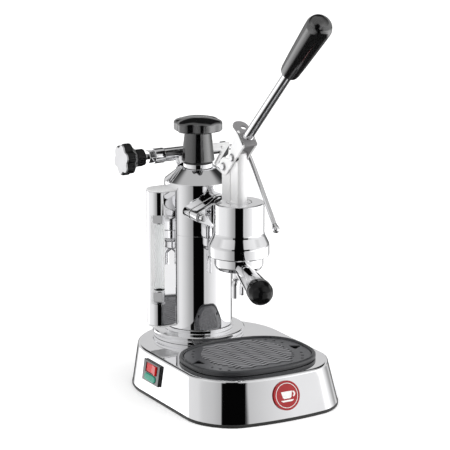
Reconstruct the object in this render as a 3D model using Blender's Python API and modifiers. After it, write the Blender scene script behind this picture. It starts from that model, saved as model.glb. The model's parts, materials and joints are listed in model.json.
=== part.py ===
"""Lever espresso machine: a chromed boiler and a lever group on a pressed base with a drip tray.

Lengths here are millimetres, and the helpers turn them into metres. +Z is up, -Y is the front,
and the origin is on the underside of the base, below the middle of the boiler.
"""

import math

import bmesh
import bpy
from mathutils import Matrix, Vector

MM = 0.001
GAP = 0.3  # clearance that touching pieces keep

# Facets round a turned piece.
WIDE = 40
ROUND = 28
SMALL = 16

# Base
TRIM_TOP = 3.3
SHELL_BOTTOM = 4.0
BASE_TOP = 51.0
SHELL_WALL = 1.6
BASE_HALF = (95.5, 88.5)  # at the bottom, at the top
BASE_FRONT = (194.4, 182.2)
BASE_BACK = (54.8, 51.0)
BASE_FRONT_CORNER = 44.5
BASE_BACK_CORNER = (88.5, 85.0)
BASE_BOW = (13.8, 12.9)
EDGE_RADIUS = 3.0
PLATE_INSET = 6.3
PLATE_THICKNESS = 2.5

BADGE_X = 3.5  # the badge sits a little to the right of the middle

# Drip tray: a superellipse round (0, TRAY_Y)
TRAY_Y = -119.0
TRAY_HALF = (77.0, 62.5)
TRAY_POWER = 2.6
TRAY_LIP_TOP = 57.5
TRAY_FLOOR = 22.0
GRILLE_BOTTOM = 54.0
GRILLE_TOP = 55.6

# Boiler, round the Z axis
BOILER_RADIUS = 40.0
BOILER_WALL = 1.5
RING_TOP = 60.5
COLLAR_TOP = 65.0
BOILER_BOTTOM = 65.3
SHOULDER = 241.0
CONE_TOP = 255.0
CONE_TOP_RADIUS = 23.0
NECK_RADIUS = 17.5
NECK_TOP = 261.0
CAP_BOTTOM = 263.0
CAP_DISC = (299.4, 311.5)
CAP_TOP = 316.0
CAP_RADIUS = 28.8
CAP_LOBES = 6

# Water gauge on the left of the boiler
GAUGE_X = -52.5
GUARD_RADIUS = 14.7
GUARD_WALL = 1.2
GUARD_BOTTOM = 71.0
GUARD_TOP = 233.0
WINDOW = (97.5, 205.5)
WINDOW_TURN = -29.0  # degrees from straight ahead

# Group
GROUP_Y = -98.0
GROUP_TOP = 233.2
BELL_BOTTOM = 170.4
BELL_BORE = 31.0
SLEEVE_BORE = 25.5
STEP = 180.0
CEILING = 226.0
FLANGE_Z = 213.0
FLANGE_BOLT_X = 33.5
FLANGE_FRONT = -69.6
ROD_RADIUS = 10.3
ROD_FLAT = 6.3
PISTON_TOP = 219.0
PISTON_BOTTOM = 207.0

# Lever: the fulcrum, and the pin that lifts the piston rod
FULCRUM = (0.0, -78.0, 271.8)
PISTON_PIN_Z = 286.0
LEVER_RISE = 44.0  # degrees above level
FORK_HALF = 9.2
FORK_PLATE = 2.4
WEB_AT = 54.6
ROD_OFFSET = 1.8
LEVER_ROD_RADIUS = 5.6
GRIP_START = 184.0
GRIP_EQUATOR = 272.0
GRIP_DOME = 10.0

# Portafilter, held in the group
HANDLE_TURN = -17.8  # degrees from straight ahead
COLLAR_RADIUS = 28.5
COLLAR_BOTTOM = 153.6
COLLAR_RIM = 173.5
HANDLE_Z = 157.8
NECK_END = 108.0
GRIP_END = 134.0
SPOUT_TURN = math.radians(48)  # the twin spout screws on, and stops across the handle

# Steam valve behind the cap, along X
VALVE_Y = 34.0
VALVE_Z = 266.0
VALVE_END = 48.0
WAND_RADIUS = 3.2

PALETTE = {
    "chrome": ((0.78, 0.78, 0.79), 0.06, 1.0),
    "brass": ((0.70, 0.52, 0.25), 0.25, 1.0),
    "steel": ((0.62, 0.62, 0.63), 0.3, 1.0),
    "bakelite": ((0.012, 0.012, 0.013), 0.15, 0.0),
    "tray_plastic": ((0.09, 0.09, 0.095), 0.45, 0.0),
    "trim_rubber": ((0.03, 0.03, 0.03), 0.6, 0.0),
    "seal_rubber": ((0.05, 0.05, 0.05), 0.7, 0.0),
    "glass": ((0.85, 0.9, 0.9), 0.02, 0.0),
    "knob_metal": ((0.6, 0.6, 0.61), 0.35, 1.0),
    "red_plastic": ((0.65, 0.03, 0.03), 0.25, 0.0),
    "green_lens": ((0.1, 0.45, 0.32), 0.15, 0.0),
    "enamel": ((0.55, 0.05, 0.04), 0.2, 0.0),
}


def clear_scene():
    for obj in list(bpy.data.objects):
        bpy.data.objects.remove(obj, do_unlink=True)


def make_collection(name):
    collection = bpy.data.collections.new(name)
    bpy.context.scene.collection.children.link(collection)
    return collection


def make_material(name):
    color, roughness, metallic = PALETTE[name]
    material = bpy.data.materials.new(name)
    material.use_nodes = True
    shader = material.node_tree.nodes["Principled BSDF"]
    shader.inputs["Base Color"].default_value = (*color, 1.0)
    shader.inputs["Roughness"].default_value = roughness
    shader.inputs["Metallic"].default_value = metallic
    return material


clear_scene()
MACHINE = make_collection("espresso_machine")
CUTTERS = make_collection("cutters")
MATERIALS = {name: make_material(name) for name in PALETTE}


# ---------------------------------------------------------------- helpers


def add_object(name, data, material=None, parent=None):
    """Adds a node to the machine, or a cutter where no material is given."""
    obj = bpy.data.objects.new(name, data)
    if material:
        MACHINE.objects.link(obj)
        data.materials.append(MATERIALS[material])
    else:
        CUTTERS.objects.link(obj)
        obj.hide_render = True
        obj.display_type = "WIRE"
    obj.parent = parent
    return obj


def smooth(mesh):
    mesh.shade_smooth()
    mesh.set_sharp_from_angle(angle=math.radians(35))


def from_bmesh(name, bm, material=None, parent=None):
    mesh = bpy.data.meshes.new(name)
    bm.to_mesh(mesh)
    bm.free()
    smooth(mesh)
    return add_object(name, mesh, material, parent)


def place(obj, at=(0, 0, 0), turn=(0, 0, 0)):
    obj.location = Vector(at) * MM
    obj.rotation_euler = [math.radians(angle) for angle in turn]
    return obj


def turned(name, profile, material=None, steps=ROUND, at=(0, 0, 0), turn=(0, 0, 0), parent=None):
    """Revolves (radius, height) points about local Z. They run down the outer side.

    A profile that leaves the axis open is closed into a ring.
    """
    points = [(radius * MM, 0.0, height * MM) for radius, height in profile]
    edges = [(i, i + 1) for i in range(len(points) - 1)]
    if profile[0][0] > 0:
        edges.append((len(points) - 1, 0))
    mesh = bpy.data.meshes.new(name)
    mesh.from_pydata(points, edges, [])
    obj = add_object(name, mesh, material, parent)
    screw = obj.modifiers.new("Screw", "SCREW")
    screw.steps = steps
    screw.render_steps = steps
    screw.use_merge_vertices = True
    screw.merge_threshold = 0.00001
    return place(obj, at, turn)


def washer(inner, outer, bottom, top):
    """The profile of a plain ring."""
    return [(outer, top), (outer, bottom), (inner, bottom), (inner, top)]


def disc(radius, bottom, top):
    """The profile of a plain cylinder."""
    return [(0, top), (radius, top), (radius, bottom), (0, bottom)]


def bar(name, start, end, radius, material=None, end_radius=None, steps=ROUND, parent=None):
    """A cylinder or cone from one point to another."""
    start, end = Vector(start), Vector(end)
    axis = end - start
    bm = bmesh.new()
    bmesh.ops.create_cone(
        bm,
        cap_ends=True,
        segments=steps,
        radius1=radius * MM,
        radius2=(end_radius or radius) * MM,
        depth=axis.length * MM,
    )
    spin = axis.to_track_quat("Z", "Y").to_matrix().to_4x4()
    bm.transform(Matrix.Translation((start + end) / 2 * MM) @ spin)
    return from_bmesh(name, bm, material, parent)


def block(name, low, high, material=None, parent=None, frame=None):
    """A box between two corners, given in the frame's own axes."""
    low, high = Vector(low), Vector(high)
    bm = bmesh.new()
    bmesh.ops.create_cube(bm, size=1.0)
    size = (high - low) * MM
    bm.transform(Matrix.Translation((low + high) / 2 * MM) @ Matrix.Diagonal((*size, 1)))
    if frame:
        bm.transform(frame)
    return from_bmesh(name, bm, material, parent)


def axes(origin, along_x, along_y):
    """A frame at a point, with its local X and Y along two square directions."""
    x, y = Vector(along_x).normalized(), Vector(along_y).normalized()
    frame = Matrix((x, y, x.cross(y))).transposed().to_4x4()
    frame.translation = Vector(origin) * MM
    return frame


def extruded(name, outlines, depth, frame, material=None, parent=None):
    """Flat outlines in the frame's XY plane, filled and given a depth along its Z."""
    curve = bpy.data.curves.new(name, "CURVE")
    curve.dimensions = "2D"
    curve.fill_mode = "BOTH"
    curve.extrude = depth / 2 * MM
    for outline in outlines:
        spline = curve.splines.new("POLY")
        spline.points.add(len(outline) - 1)
        for point, (x, y) in zip(spline.points, outline):
            point.co = (x * MM, y * MM, 0, 1)
        spline.use_cyclic_u = True
    return meshed(name, curve, frame, material, parent)


def tube(name, points, radius, material=None, parent=None, resolution=2):
    """A round bar along points, with closed ends."""
    curve = bpy.data.curves.new(name, "CURVE")
    curve.dimensions = "3D"
    curve.bevel_depth = radius * MM
    curve.bevel_resolution = resolution
    curve.use_fill_caps = True
    spline = curve.splines.new("POLY")
    spline.points.add(len(points) - 1)
    for point, (x, y, z) in zip(spline.points, points):
        point.co = (x * MM, y * MM, z * MM, 1)
    return meshed(name, curve, Matrix.Identity(4), material, parent)


def meshed(name, curve, frame, material, parent):
    """Turns a curve into a welded mesh, so that it can be cut and joined."""
    guide = bpy.data.objects.new(name + "_curve", curve)
    bpy.context.scene.collection.objects.link(guide)
    bpy.context.view_layer.update()
    graph = bpy.context.evaluated_depsgraph_get()
    mesh = bpy.data.meshes.new_from_object(guide.evaluated_get(graph))
    bpy.data.objects.remove(guide)
    bm = bmesh.new()
    bm.from_mesh(mesh)
    bmesh.ops.remove_doubles(bm, verts=bm.verts, dist=0.000002)
    bm.transform(frame)
    bm.to_mesh(mesh)
    bm.free()
    smooth(mesh)
    mesh.materials.clear()
    return add_object(name, mesh, material, parent)


def loft(name, rings, material=None, parent=None, open_start=False):
    """Skins equal rings of points, each anticlockwise from above, with flat ends."""
    bm = bmesh.new()
    rows = [[bm.verts.new(Vector(point) * MM) for point in ring] for ring in rings]
    for low, high in zip(rows, rows[1:]):
        for i, corner in enumerate(low):
            after = (i + 1) % len(low)
            bm.faces.new((corner, low[after], high[after], high[i]))
    if not open_start:
        bm.faces.new(rows[0][::-1])
    bm.faces.new(rows[-1])
    return from_bmesh(name, bm, material, parent)


def combine(target, operation, *others):
    for other in others:
        modifier = target.modifiers.new(other.name, "BOOLEAN")
        modifier.operation = operation
        modifier.object = other
    return target


def cut(target, *cutters):
    return combine(target, "DIFFERENCE", *cutters)


def join(target, *others):
    return combine(target, "UNION", *others)


def empty(name, at, turn=(0, 0, 0)):
    """The joint axis of a moving part, which its pieces hang on."""
    obj = bpy.data.objects.new(name, None)
    MACHINE.objects.link(obj)
    return place(obj, at, turn)


def set_origin(obj, at):
    """Moves a piece's origin to a point, and leaves the piece where it is."""
    obj.data.transform(Matrix.Translation(-Vector(at) * MM))
    obj.location = Vector(at) * MM
    return obj


def arc(centre, radius, start, end, count):
    """Points on an arc, in degrees, with both ends."""
    angles = [math.radians(start + (end - start) * i / count) for i in range(count + 1)]
    return [(centre[0] + radius * math.cos(a), centre[1] + radius * math.sin(a)) for a in angles]


def rounded_route(points, radius, count=5):
    """A route through points, with each inner corner turned into an arc-like bend."""
    points = [Vector(point) for point in points]
    route = [points[0]]
    for before, corner, after in zip(points, points[1:], points[2:]):
        start = corner + (before - corner).normalized() * radius
        end = corner + (after - corner).normalized() * radius
        for i in range(count + 1):
            t = i / count
            route.append(start * (1 - t) ** 2 + corner * 2 * t * (1 - t) + end * t * t)
    route.append(points[-1])
    return route


def hexagon(across_flats, turn=0.0):
    radius = across_flats / math.sqrt(3)
    return arc((0, 0), radius, turn, turn + 300, 5)


# ---------------------------------------------------------------- base


def between(pair, share):
    return pair[0] + (pair[1] - pair[0]) * share


def base_outline(height, inset=0.0):
    """The base's plan at a height: bowed at the front, and nearly a half circle at the back."""
    share = (height - SHELL_BOTTOM) / (BASE_TOP - SHELL_BOTTOM)
    half = between(BASE_HALF, share) - inset
    front = between(BASE_FRONT, share) - inset
    back = between(BASE_BACK, share) - inset
    near = BASE_FRONT_CORNER - inset
    far = between(BASE_BACK_CORNER, share) - inset
    plan = arc((-half + near, near - front), near, 180, 270, 7)
    plan += [(x * (half - near) / 3, -front) for x in (-2, -1, 0, 1, 2)]
    plan += arc((half - near, near - front), near, 270, 360, 7)
    plan += arc((half - far, back - far), far, 0, 90, 9)
    plan += arc((far - half, back - far), far, 90, 180, 9)[1:]
    bow = between(BASE_BOW, share)
    ring = []
    for x, y in plan:
        share = min(max((near - front - y) / near, 0.0), 1.0)
        ring.append((x, y - bow * share * (1 - (x / half) ** 2), height))
    return ring


def flat(ring):
    return [(x, y) for x, y, _ in ring]


def at_height(outline, height):
    return [(x, y, height) for x, y in outline]


def tray_outline(inset, height, count=44):
    """The tray's plan, drawn in from its lip's outer edge."""
    ring = []
    for i in range(count):
        angle = math.tau * i / count
        c, s = math.cos(angle), math.sin(angle)
        x = (TRAY_HALF[0] - inset) * math.copysign(abs(c) ** (2 / TRAY_POWER), c)
        y = (TRAY_HALF[1] - inset) * math.copysign(abs(s) ** (2 / TRAY_POWER), s)
        ring.append((x, TRAY_Y + y, height))
    return ring


def make_base():
    rings = [base_outline(SHELL_BOTTOM), base_outline(BASE_TOP - EDGE_RADIUS)]
    for angle in (30, 60, 90):
        turn = math.radians(angle)
        inset = EDGE_RADIUS * (1 - math.cos(turn))
        height = BASE_TOP - EDGE_RADIUS * (1 - math.sin(turn))
        rings.append([(x, y, height) for x, y, _ in base_outline(BASE_TOP - EDGE_RADIUS, inset)])
    shell = loft("base_shell", rings, "chrome", open_start=True)
    wall = shell.modifiers.new("Solidify", "SOLIDIFY")
    wall.thickness = SHELL_WALL * MM
    wall.offset = -1
    well = loft("tray_well_cutter", [tray_outline(6.2, 40), tray_outline(6.2, 60)])
    spigot = turned("boiler_hole_cutter", disc(36, 40, 60))
    frame = switch_frame()
    window = block("switch_cutter", (-18.2, -10.7, -8), (18.2, 10.7, 8), frame=frame)
    gland = bar("gland_cutter", (0, 40, 18), (0, 70, 18), 7.4, steps=SMALL)
    cut(shell, well, spigot, window, gland)

    outer = flat(base_outline(SHELL_BOTTOM, -0.6))
    inner = flat(base_outline(SHELL_BOTTOM, PLATE_INSET - GAP))
    level = axes((0, 0, TRIM_TOP / 2), (1, 0, 0), (0, 1, 0))
    extruded("base_trim", [outer, inner], TRIM_TOP, level, "trim_rubber")
    plate = flat(base_outline(SHELL_BOTTOM, PLATE_INSET))
    level = axes((0, 0, PLATE_THICKNESS / 2), (1, 0, 0), (0, 1, 0))
    extruded("base_plate", [plate], PLATE_THICKNESS, level, "tray_plastic")

    profile = [(10, 4.5), (10, 0), (6.8, 0), (6.8, -7), (4, -7), (4, 10), (7, 10), (8.4, 6)]
    turned("cable_gland", profile, "trim_rubber", SMALL, at=(0, 55.2, 18), turn=(-90, 0, 0))


def make_badge():
    """A round enamel badge that lies on the sloping front."""
    height = 28.8
    share = (height - SHELL_BOTTOM) / (BASE_TOP - SHELL_BOTTOM)
    front = between(BASE_FRONT, share) + between(BASE_BOW, share)
    lean = (BASE_FRONT[0] + BASE_BOW[0] - BASE_FRONT[1] - BASE_BOW[1]) / (BASE_TOP - SHELL_BOTTOM)
    tilt = 90 - math.degrees(math.atan(lean))
    profile = [(0, 2.6), (14.5, 2.2), (16, 2.6), (17, 1.8), (17, 0.5), (0, 0.5)]
    turned("badge", profile, "enamel", at=(BADGE_X, -front, height), turn=(tilt, 0, 0))


def switch_frame():
    """Local X points forward along the left wall, local Y up it, and local Z out of it."""
    height = 30.5
    lean = (BASE_HALF[0] - BASE_HALF[1]) / (BASE_TOP - SHELL_BOTTOM)
    wall = BASE_HALF[0] - lean * (height - SHELL_BOTTOM)
    return axes((-wall, -57.0, height), (0, -1, 0), (lean, 0, 1))


def pill(half_length, half_height, centre_y):
    left = arc((half_height - half_length, centre_y), half_height, 90, 270, 6)
    right = arc((half_length - half_height, centre_y), half_height, 270, 450, 6)
    return left + right


def make_switch():
    frame = switch_frame()
    body = block("switch_housing", (-20, -12.5, 0.3), (20, 12.5, 2.8), "bakelite", frame=frame)
    inside = block("switch_body", (-17.6, -10.2, -17), (17.6, 10.2, 1), frame=frame)
    pocket = block("rocker_cutter", (-13.7, -1.4, -9), (13.7, 10.0, 5), frame=frame)
    shift = Matrix.Translation((0, 0, 0.9 * MM))
    lamp = extruded("lens_cutter", [pill(13.3, 4.4, -6.4)], 7, frame @ shift)
    join(body, inside)
    cut(body, pocket, lamp)

    lens = Matrix.Translation((0, 0, 1.0 * MM))
    extruded("pilot_lens", [pill(13.0, 4.1, -6.4)], 5.6, frame @ lens, "green_lens")

    profile = [(-12.8, -1.2), (-8, -5), (8, -5), (12.8, -1.2), (12.8, 3.4), (0, 2.2), (-12.8, 3.4)]
    sway = math.radians(6)
    pivot = Vector((0, -1.0))
    leaned = []
    for point in profile:
        offset = Vector(point) - pivot
        leaned.append(pivot + Matrix.Rotation(sway, 2) @ offset)
    # The outline lies in the frame's X and Z, so its depth runs down the wall.
    section = frame @ axes((0, 4.3, 0), (1, 0, 0), (0, 0, 1))
    rocker = extruded("switch_rocker", [leaned], 10.8, section, "red_plastic")
    axis = frame @ Vector((0, 4.3 * MM, -1.0 * MM))
    set_origin(rocker, axis / MM)


def make_tray():
    rim = TRAY_LIP_TOP
    steps = [
        (8.5, TRAY_FLOOR),
        (7.0, TRAY_FLOOR + 2),
        (6.6, BASE_TOP + GAP),
        (0.3, BASE_TOP + GAP),
        (0.0, BASE_TOP + 1.5),
        (0.3, rim - 1.5),
        (1.6, rim),
        (3.2, rim),
        (4.4, rim - 1.2),
        (4.7, GRILLE_BOTTOM - GAP),
        (8.8, GRILLE_BOTTOM - GAP),
        (9.2, TRAY_FLOOR + 4),
        (10.6, TRAY_FLOOR + 2.2),
    ]
    loft("drip_tray", [tray_outline(inset, height) for inset, height in steps], "tray_plastic")

    rings = [tray_outline(5.1, GRILLE_BOTTOM), tray_outline(5.1, GRILLE_TOP)]
    grille = loft("drip_grille", rings, "tray_plastic")
    set_origin(grille, (0, TRAY_Y, GRILLE_BOTTOM))
    for i in range(9):
        y = TRAY_Y - 40 + 10 * i
        half = 46 - 0.011 * (y - TRAY_Y) ** 2
        slot = block(f"slot_cutter_{i}", (-half, y - 2.2, 50), (half, y + 2.2, 60))
        cut(grille, slot)
    for side in (-1, 1):
        corners = [(side * x, TRAY_Y + y) for x, y in ((54, 8), (54, -8), (66, 0))]
        level = axes((0, 0, 55), (1, 0, 0), (0, 1, 0))
        side_name = "left" if side < 0 else "right"
        cut(grille, extruded(f"finger_cutter_{side_name}", [corners], 10, level))


# ---------------------------------------------------------------- boiler


def cap_outline(radius, height, depth):
    ring = []
    count = CAP_LOBES * 8
    for i in range(count):
        angle = math.tau * i / count
        swell = depth * math.cos(CAP_LOBES * (angle + math.radians(40)))
        reach = radius - depth + swell
        ring.append((reach * math.cos(angle), reach * math.sin(angle), height))
    return ring


def make_boiler():
    ring = [
        (41.4, COLLAR_TOP),
        (41.4, RING_TOP),
        (54.2, RING_TOP),
        (55.0, RING_TOP - 0.8),
        (55.0, 56.4),
        (53.6, 56.0),
        (53.6, 55.4),
        (54.4, 55.0),
        (54.4, BASE_TOP + GAP),
        (38.3, BASE_TOP + GAP),
        (38.3, COLLAR_TOP),
    ]
    turned("boiler_ring", ring, "chrome", WIDE)

    slope = (CONE_TOP - SHOULDER) / (BOILER_RADIUS - CONE_TOP_RADIUS)
    inner = BOILER_RADIUS - BOILER_WALL
    shell = [
        (14.0, CONE_TOP),
        (CONE_TOP_RADIUS, CONE_TOP),
        (BOILER_RADIUS - 1, SHOULDER + slope),
        (BOILER_RADIUS, SHOULDER - 1),
        (BOILER_RADIUS, BOILER_BOTTOM),
        (inner, BOILER_BOTTOM),
        (inner, SHOULDER - 2),
        (CONE_TOP_RADIUS, CONE_TOP - 3),
        (14.0, CONE_TOP - 3),
    ]
    boiler = turned("boiler_shell", shell, "chrome", WIDE)
    cut(boiler, bar("outlet_cutter", (0, -46, FLANGE_Z), (0, -30, FLANGE_Z), 5, steps=SMALL))

    turned("filler_neck", washer(13.7, NECK_RADIUS, CONE_TOP + GAP, NECK_TOP), "chrome")
    turned("element_flange", disc(37.9, 55.5, 61.0), "brass", at=(0, 0, 0))
    loop = [(-16, 0, 61.3), (-16, 0, 168), (0, 0, 182), (16, 0, 168), (16, 0, 61.3)]
    tube("heating_element", rounded_route(loop, 9, 4), 3.6, "steel")
    turned("thermostat", disc(8, 44, 55.2), "steel", SMALL, at=(14, 12, 0))


def make_cap():
    axis = empty("cap_axis", (0, 0, CAP_BOTTOM))
    seal = washer(13.9, 17.0, NECK_TOP + GAP - CAP_BOTTOM, -GAP)
    turned("cap_gasket", seal, "seal_rubber", SMALL, parent=axis)
    turned("cap_insert", disc(13.2, -17, -GAP), "brass", parent=axis)
    low, high = CAP_DISC[0] - CAP_BOTTOM, CAP_DISC[1] - CAP_BOTTOM
    top = CAP_TOP - CAP_BOTTOM
    rings = [
        cap_outline(18.9, 0.0, 0),
        cap_outline(19.5, 1.0, 0),
        cap_outline(15.8, 33.5, 0),
        cap_outline(15.8, low, 0),
        cap_outline(CAP_RADIUS - 1.6, low, 1.2),
        cap_outline(CAP_RADIUS, low + 1.6, 1.5),
        cap_outline(CAP_RADIUS, high - 1.6, 1.5),
        cap_outline(CAP_RADIUS - 2, high, 1.0),
        cap_outline(19, top - 1.0, 0.3),
        cap_outline(8, top, 0),
    ]
    loft("cap_knob", rings, "bakelite", parent=axis)


def guard_outline(radius, reach):
    """A U that opens towards the boiler."""
    return arc((GAUGE_X, 0), radius, 90, 270, 12) + [(reach, -radius), (reach, radius)]


def make_gauge():
    outer = guard_outline(GUARD_RADIUS, -38.6)
    inner = guard_outline(GUARD_RADIUS - GUARD_WALL, -38.6)[::-1]
    section = outer[:-2] + [outer[-2], inner[1]] + inner[2:] + [inner[0], outer[-1]]
    level = axes((0, 0, (GUARD_BOTTOM + GUARD_TOP) / 2), (1, 0, 0), (0, 1, 0))
    guard = extruded("gauge_guard", [section], GUARD_TOP - GUARD_BOTTOM, level, "chrome")
    facing = Matrix.Translation((GAUGE_X * MM, 0, 0)) @ Matrix.Rotation(math.radians(WINDOW_TURN), 4, "Z")
    cut(guard, block("window_cutter", (-9.5, -30, WINDOW[0]), (6.7, -2, WINDOW[1]), frame=facing))

    barrel = turned("gauge_clear_cutter", disc(BOILER_RADIUS + GAP, 60, 250), steps=WIDE)
    for name, bottom in (("gauge_top_plate", GUARD_TOP + GAP), ("gauge_bottom_plate", 69.2)):
        level = axes((0, 0, bottom + 0.75), (1, 0, 0), (0, 1, 0))
        plate = extruded(name, [guard_outline(GUARD_RADIUS, -37.0)], 1.5, level, "chrome")
        cut(plate, barrel)

    turned("gauge_tube", washer(4.3, 6.0, 92, 215), "glass", at=(GAUGE_X, 0, 0))
    for name, low, high in (("upper", 206.0, 220.0), ("lower", 84.0, 98.0)):
        body = turned(f"gauge_fitting_{name}", disc(8.0, low, high), "chrome", at=(GAUGE_X, 0, 0))
        middle = (low + high) / 2
        arm = bar(f"{name}_arm", (GAUGE_X, 0, middle), (-36, 0, middle), 5.5, steps=SMALL)
        socket = turned(f"{name}_socket", disc(6.3, 91.7, 215.3), at=(GAUGE_X, 0, 0))
        join(body, arm)
        cut(body, socket, barrel)
    for name, low, high in (("upper", 194.5, 205.7), ("lower", 98.3, 110.5)):
        level = axes((GAUGE_X, 0, (low + high) / 2), (1, 0, 0), (0, 1, 0))
        outlines = [hexagon(18.6, 20), arc((0, 0), 6.3, 0, 330, 11)]
        extruded(f"gauge_nut_{name}", outlines, high - low, level, "chrome")


# ---------------------------------------------------------------- group


def flange_outline():
    """An oval with a round eye at each end for its studs."""
    left = arc((-FLANGE_BOLT_X, 0), 7.0, 115, 245, 6)
    under = arc((0, 0), 20.0, 250, 290, 4)
    right = arc((FLANGE_BOLT_X, 0), 7.0, -65, 65, 6)
    over = arc((0, 0), 20.0, 70, 110, 4)
    return left + under + right + over


def upright(y):
    """A frame in a plane across Y: local X is +X, local Y is up, and local Z is forward."""
    return axes((0, y, FLANGE_Z), (1, 0, 0), (0, 0, 1))


def make_group():
    bell = [
        (0, GROUP_TOP),
        (28.4, GROUP_TOP),
        (29.4, GROUP_TOP - 1),
        (29.4, 197.5),
        (30.2, 193),
        (33.2, 186),
        (34.8, 181.5),
        (35.3, 177),
        (35.3, 174.0),
        (34.6, 171.6),
        (32.8, BELL_BOTTOM),
        (0, BELL_BOTTOM),
    ]
    group = turned("group_body", bell, "chrome", WIDE, at=(0, GROUP_Y, 0))
    neck = bar("group_neck", (0, -98, 208), (0, -54, 208), 15)
    neck.data.transform(Matrix.Diagonal((1, 1, 1.45, 1)) @ Matrix.Identity(4))
    neck.location.z = 208 * MM * (1 - 1.45)
    flange = extruded("group_flange", [flange_outline()], 17.0, upright(FLANGE_FRONT + 8.5))
    fulcrum_y, fulcrum_z = FULCRUM[1], FULCRUM[2]
    ear = block("group_ear", (-ROD_FLAT, -87.3, 228), (ROD_FLAT, -68.7, fulcrum_z))
    eye = bar("group_eye", (-ROD_FLAT, fulcrum_y, fulcrum_z), (ROD_FLAT, fulcrum_y, fulcrum_z), 9.3)
    join(group, neck, flange, ear, eye)
    bore = [
        (0, 240),
        (14.8, 240),
        (14.8, CEILING),
        (SLEEVE_BORE, CEILING),
        (SLEEVE_BORE, STEP),
        (BELL_BORE, STEP),
        (BELL_BORE, 150),
        (0, 150),
    ]
    bore = turned("group_bore_cutter", bore, steps=WIDE, at=(0, GROUP_Y, 0))
    hole = bar("fulcrum_cutter", (-20, fulcrum_y, fulcrum_z), (20, fulcrum_y, fulcrum_z), 3.3, steps=SMALL)
    channel = bar("group_channel_cutter", (0, -80, FLANGE_Z), (0, -40, FLANGE_Z), 5, steps=SMALL)
    ear_clear = bar("rod_clear_cutter", (0, GROUP_Y, 233.5), (0, GROUP_Y, 300), ROD_RADIUS + 0.4)
    cut(group, bore, hole, channel, ear_clear)

    saddle = extruded("boiler_flange", [flange_outline()], 15.0, upright(-43.5), "chrome")
    boss = bar("saddle_boss", (0, -43, FLANGE_Z), (0, -34, FLANGE_Z), 18)
    barrel = turned("saddle_clear_cutter", disc(BOILER_RADIUS + GAP, 60, 250), steps=WIDE)
    water = bar("saddle_channel_cutter", (0, -60, FLANGE_Z), (0, -30, FLANGE_Z), 5, steps=SMALL)
    join(saddle, boss)
    gasket = extruded("flange_gasket", [flange_outline()], 1.0, upright(-51.8), "seal_rubber")
    for side, x in (("left", -FLANGE_BOLT_X), ("right", FLANGE_BOLT_X)):
        hole = bar(f"stud_cutter_{side}", (x, -76, FLANGE_Z), (x, -34, FLANGE_Z), 3.3, steps=SMALL)
        for piece in (group, saddle, gasket):
            cut(piece, hole)
        nut = [(0, 7.4), (3.6, 7.0), (4.6, 5.8), (4.6, 2), (5.6, 2), (5.6, GAP)]
        nut += [(3.0, GAP), (3.0, -30.0), (0, -30.0)]
        at = (x, FLANGE_FRONT, FLANGE_Z)
        turned(f"flange_nut_{side}", nut, "chrome", SMALL, at=at, turn=(90, 0, 0))
    cut(saddle, barrel, water)
    cut(gasket, water)

    at = (0, GROUP_Y, 0)
    turned("cylinder_sleeve", washer(23.4, 25.2, 181, 222.5), "brass", at=at)
    bush = [(14.5, 233.0), (14.5, CEILING - GAP), (17, CEILING - GAP), (17, 223.0)]
    bush += [(ROD_RADIUS + 0.35, 223.0), (ROD_RADIUS + 0.35, 233.0)]
    turned("gland_bush", bush, "brass", at=at)
    turned("group_gasket", washer(24.4, 30.6, 175.1, 179.6), "seal_rubber", at=at)
    turned("shower_screen", disc(24.0, 176.0, 177.3), "steel", at=at)


def make_piston():
    """The piston and its rod, raised as the lever holds them at rest."""
    axis = empty("piston_axis", (0, GROUP_Y, 0))
    top, low = PISTON_TOP, PISTON_BOTTOM
    grooves = ((top - 4.8, top - 1.8), (top - 10.2, top - 7.2))
    crown = [(0, top), (22.6, top)]
    for bottom, roof in grooves:
        crown += [(22.6, roof), (20.2, roof), (20.2, bottom), (22.6, bottom)]
    crown += [(22.6, low), (0, low)]
    turned("piston", crown, "brass", parent=axis)
    for name, (bottom, roof) in zip(("upper", "lower"), grooves):
        ring = washer(20.5, 23.1, bottom + GAP, roof - GAP)
        turned(f"piston_seal_{name}", ring, "seal_rubber", parent=axis)

    rod = turned("piston_rod", disc(ROD_RADIUS, top + GAP, PISTON_PIN_Z + 6), "chrome", parent=axis)
    for side in (-1, 1):
        near, far = sorted((side * ROD_FLAT, side * 20))
        name = "rod_flat_left" if side < 0 else "rod_flat_right"
        cut(rod, block(name, (near, -20, 234), (far, 20, 310), parent=axis))
    # The eye is a level slot, because the pin swings forward as the lever turns.
    slot = arc((-5.2, PISTON_PIN_Z), 3.8, 90, 270, 6) + arc((1.5, PISTON_PIN_Z), 3.8, 270, 450, 6)
    frame = axes((0, 0, 0), (0, 1, 0), (0, 0, 1))
    cut(rod, extruded("rod_slot_cutter", [slot], 40, frame, parent=axis))


# ---------------------------------------------------------------- lever


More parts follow.
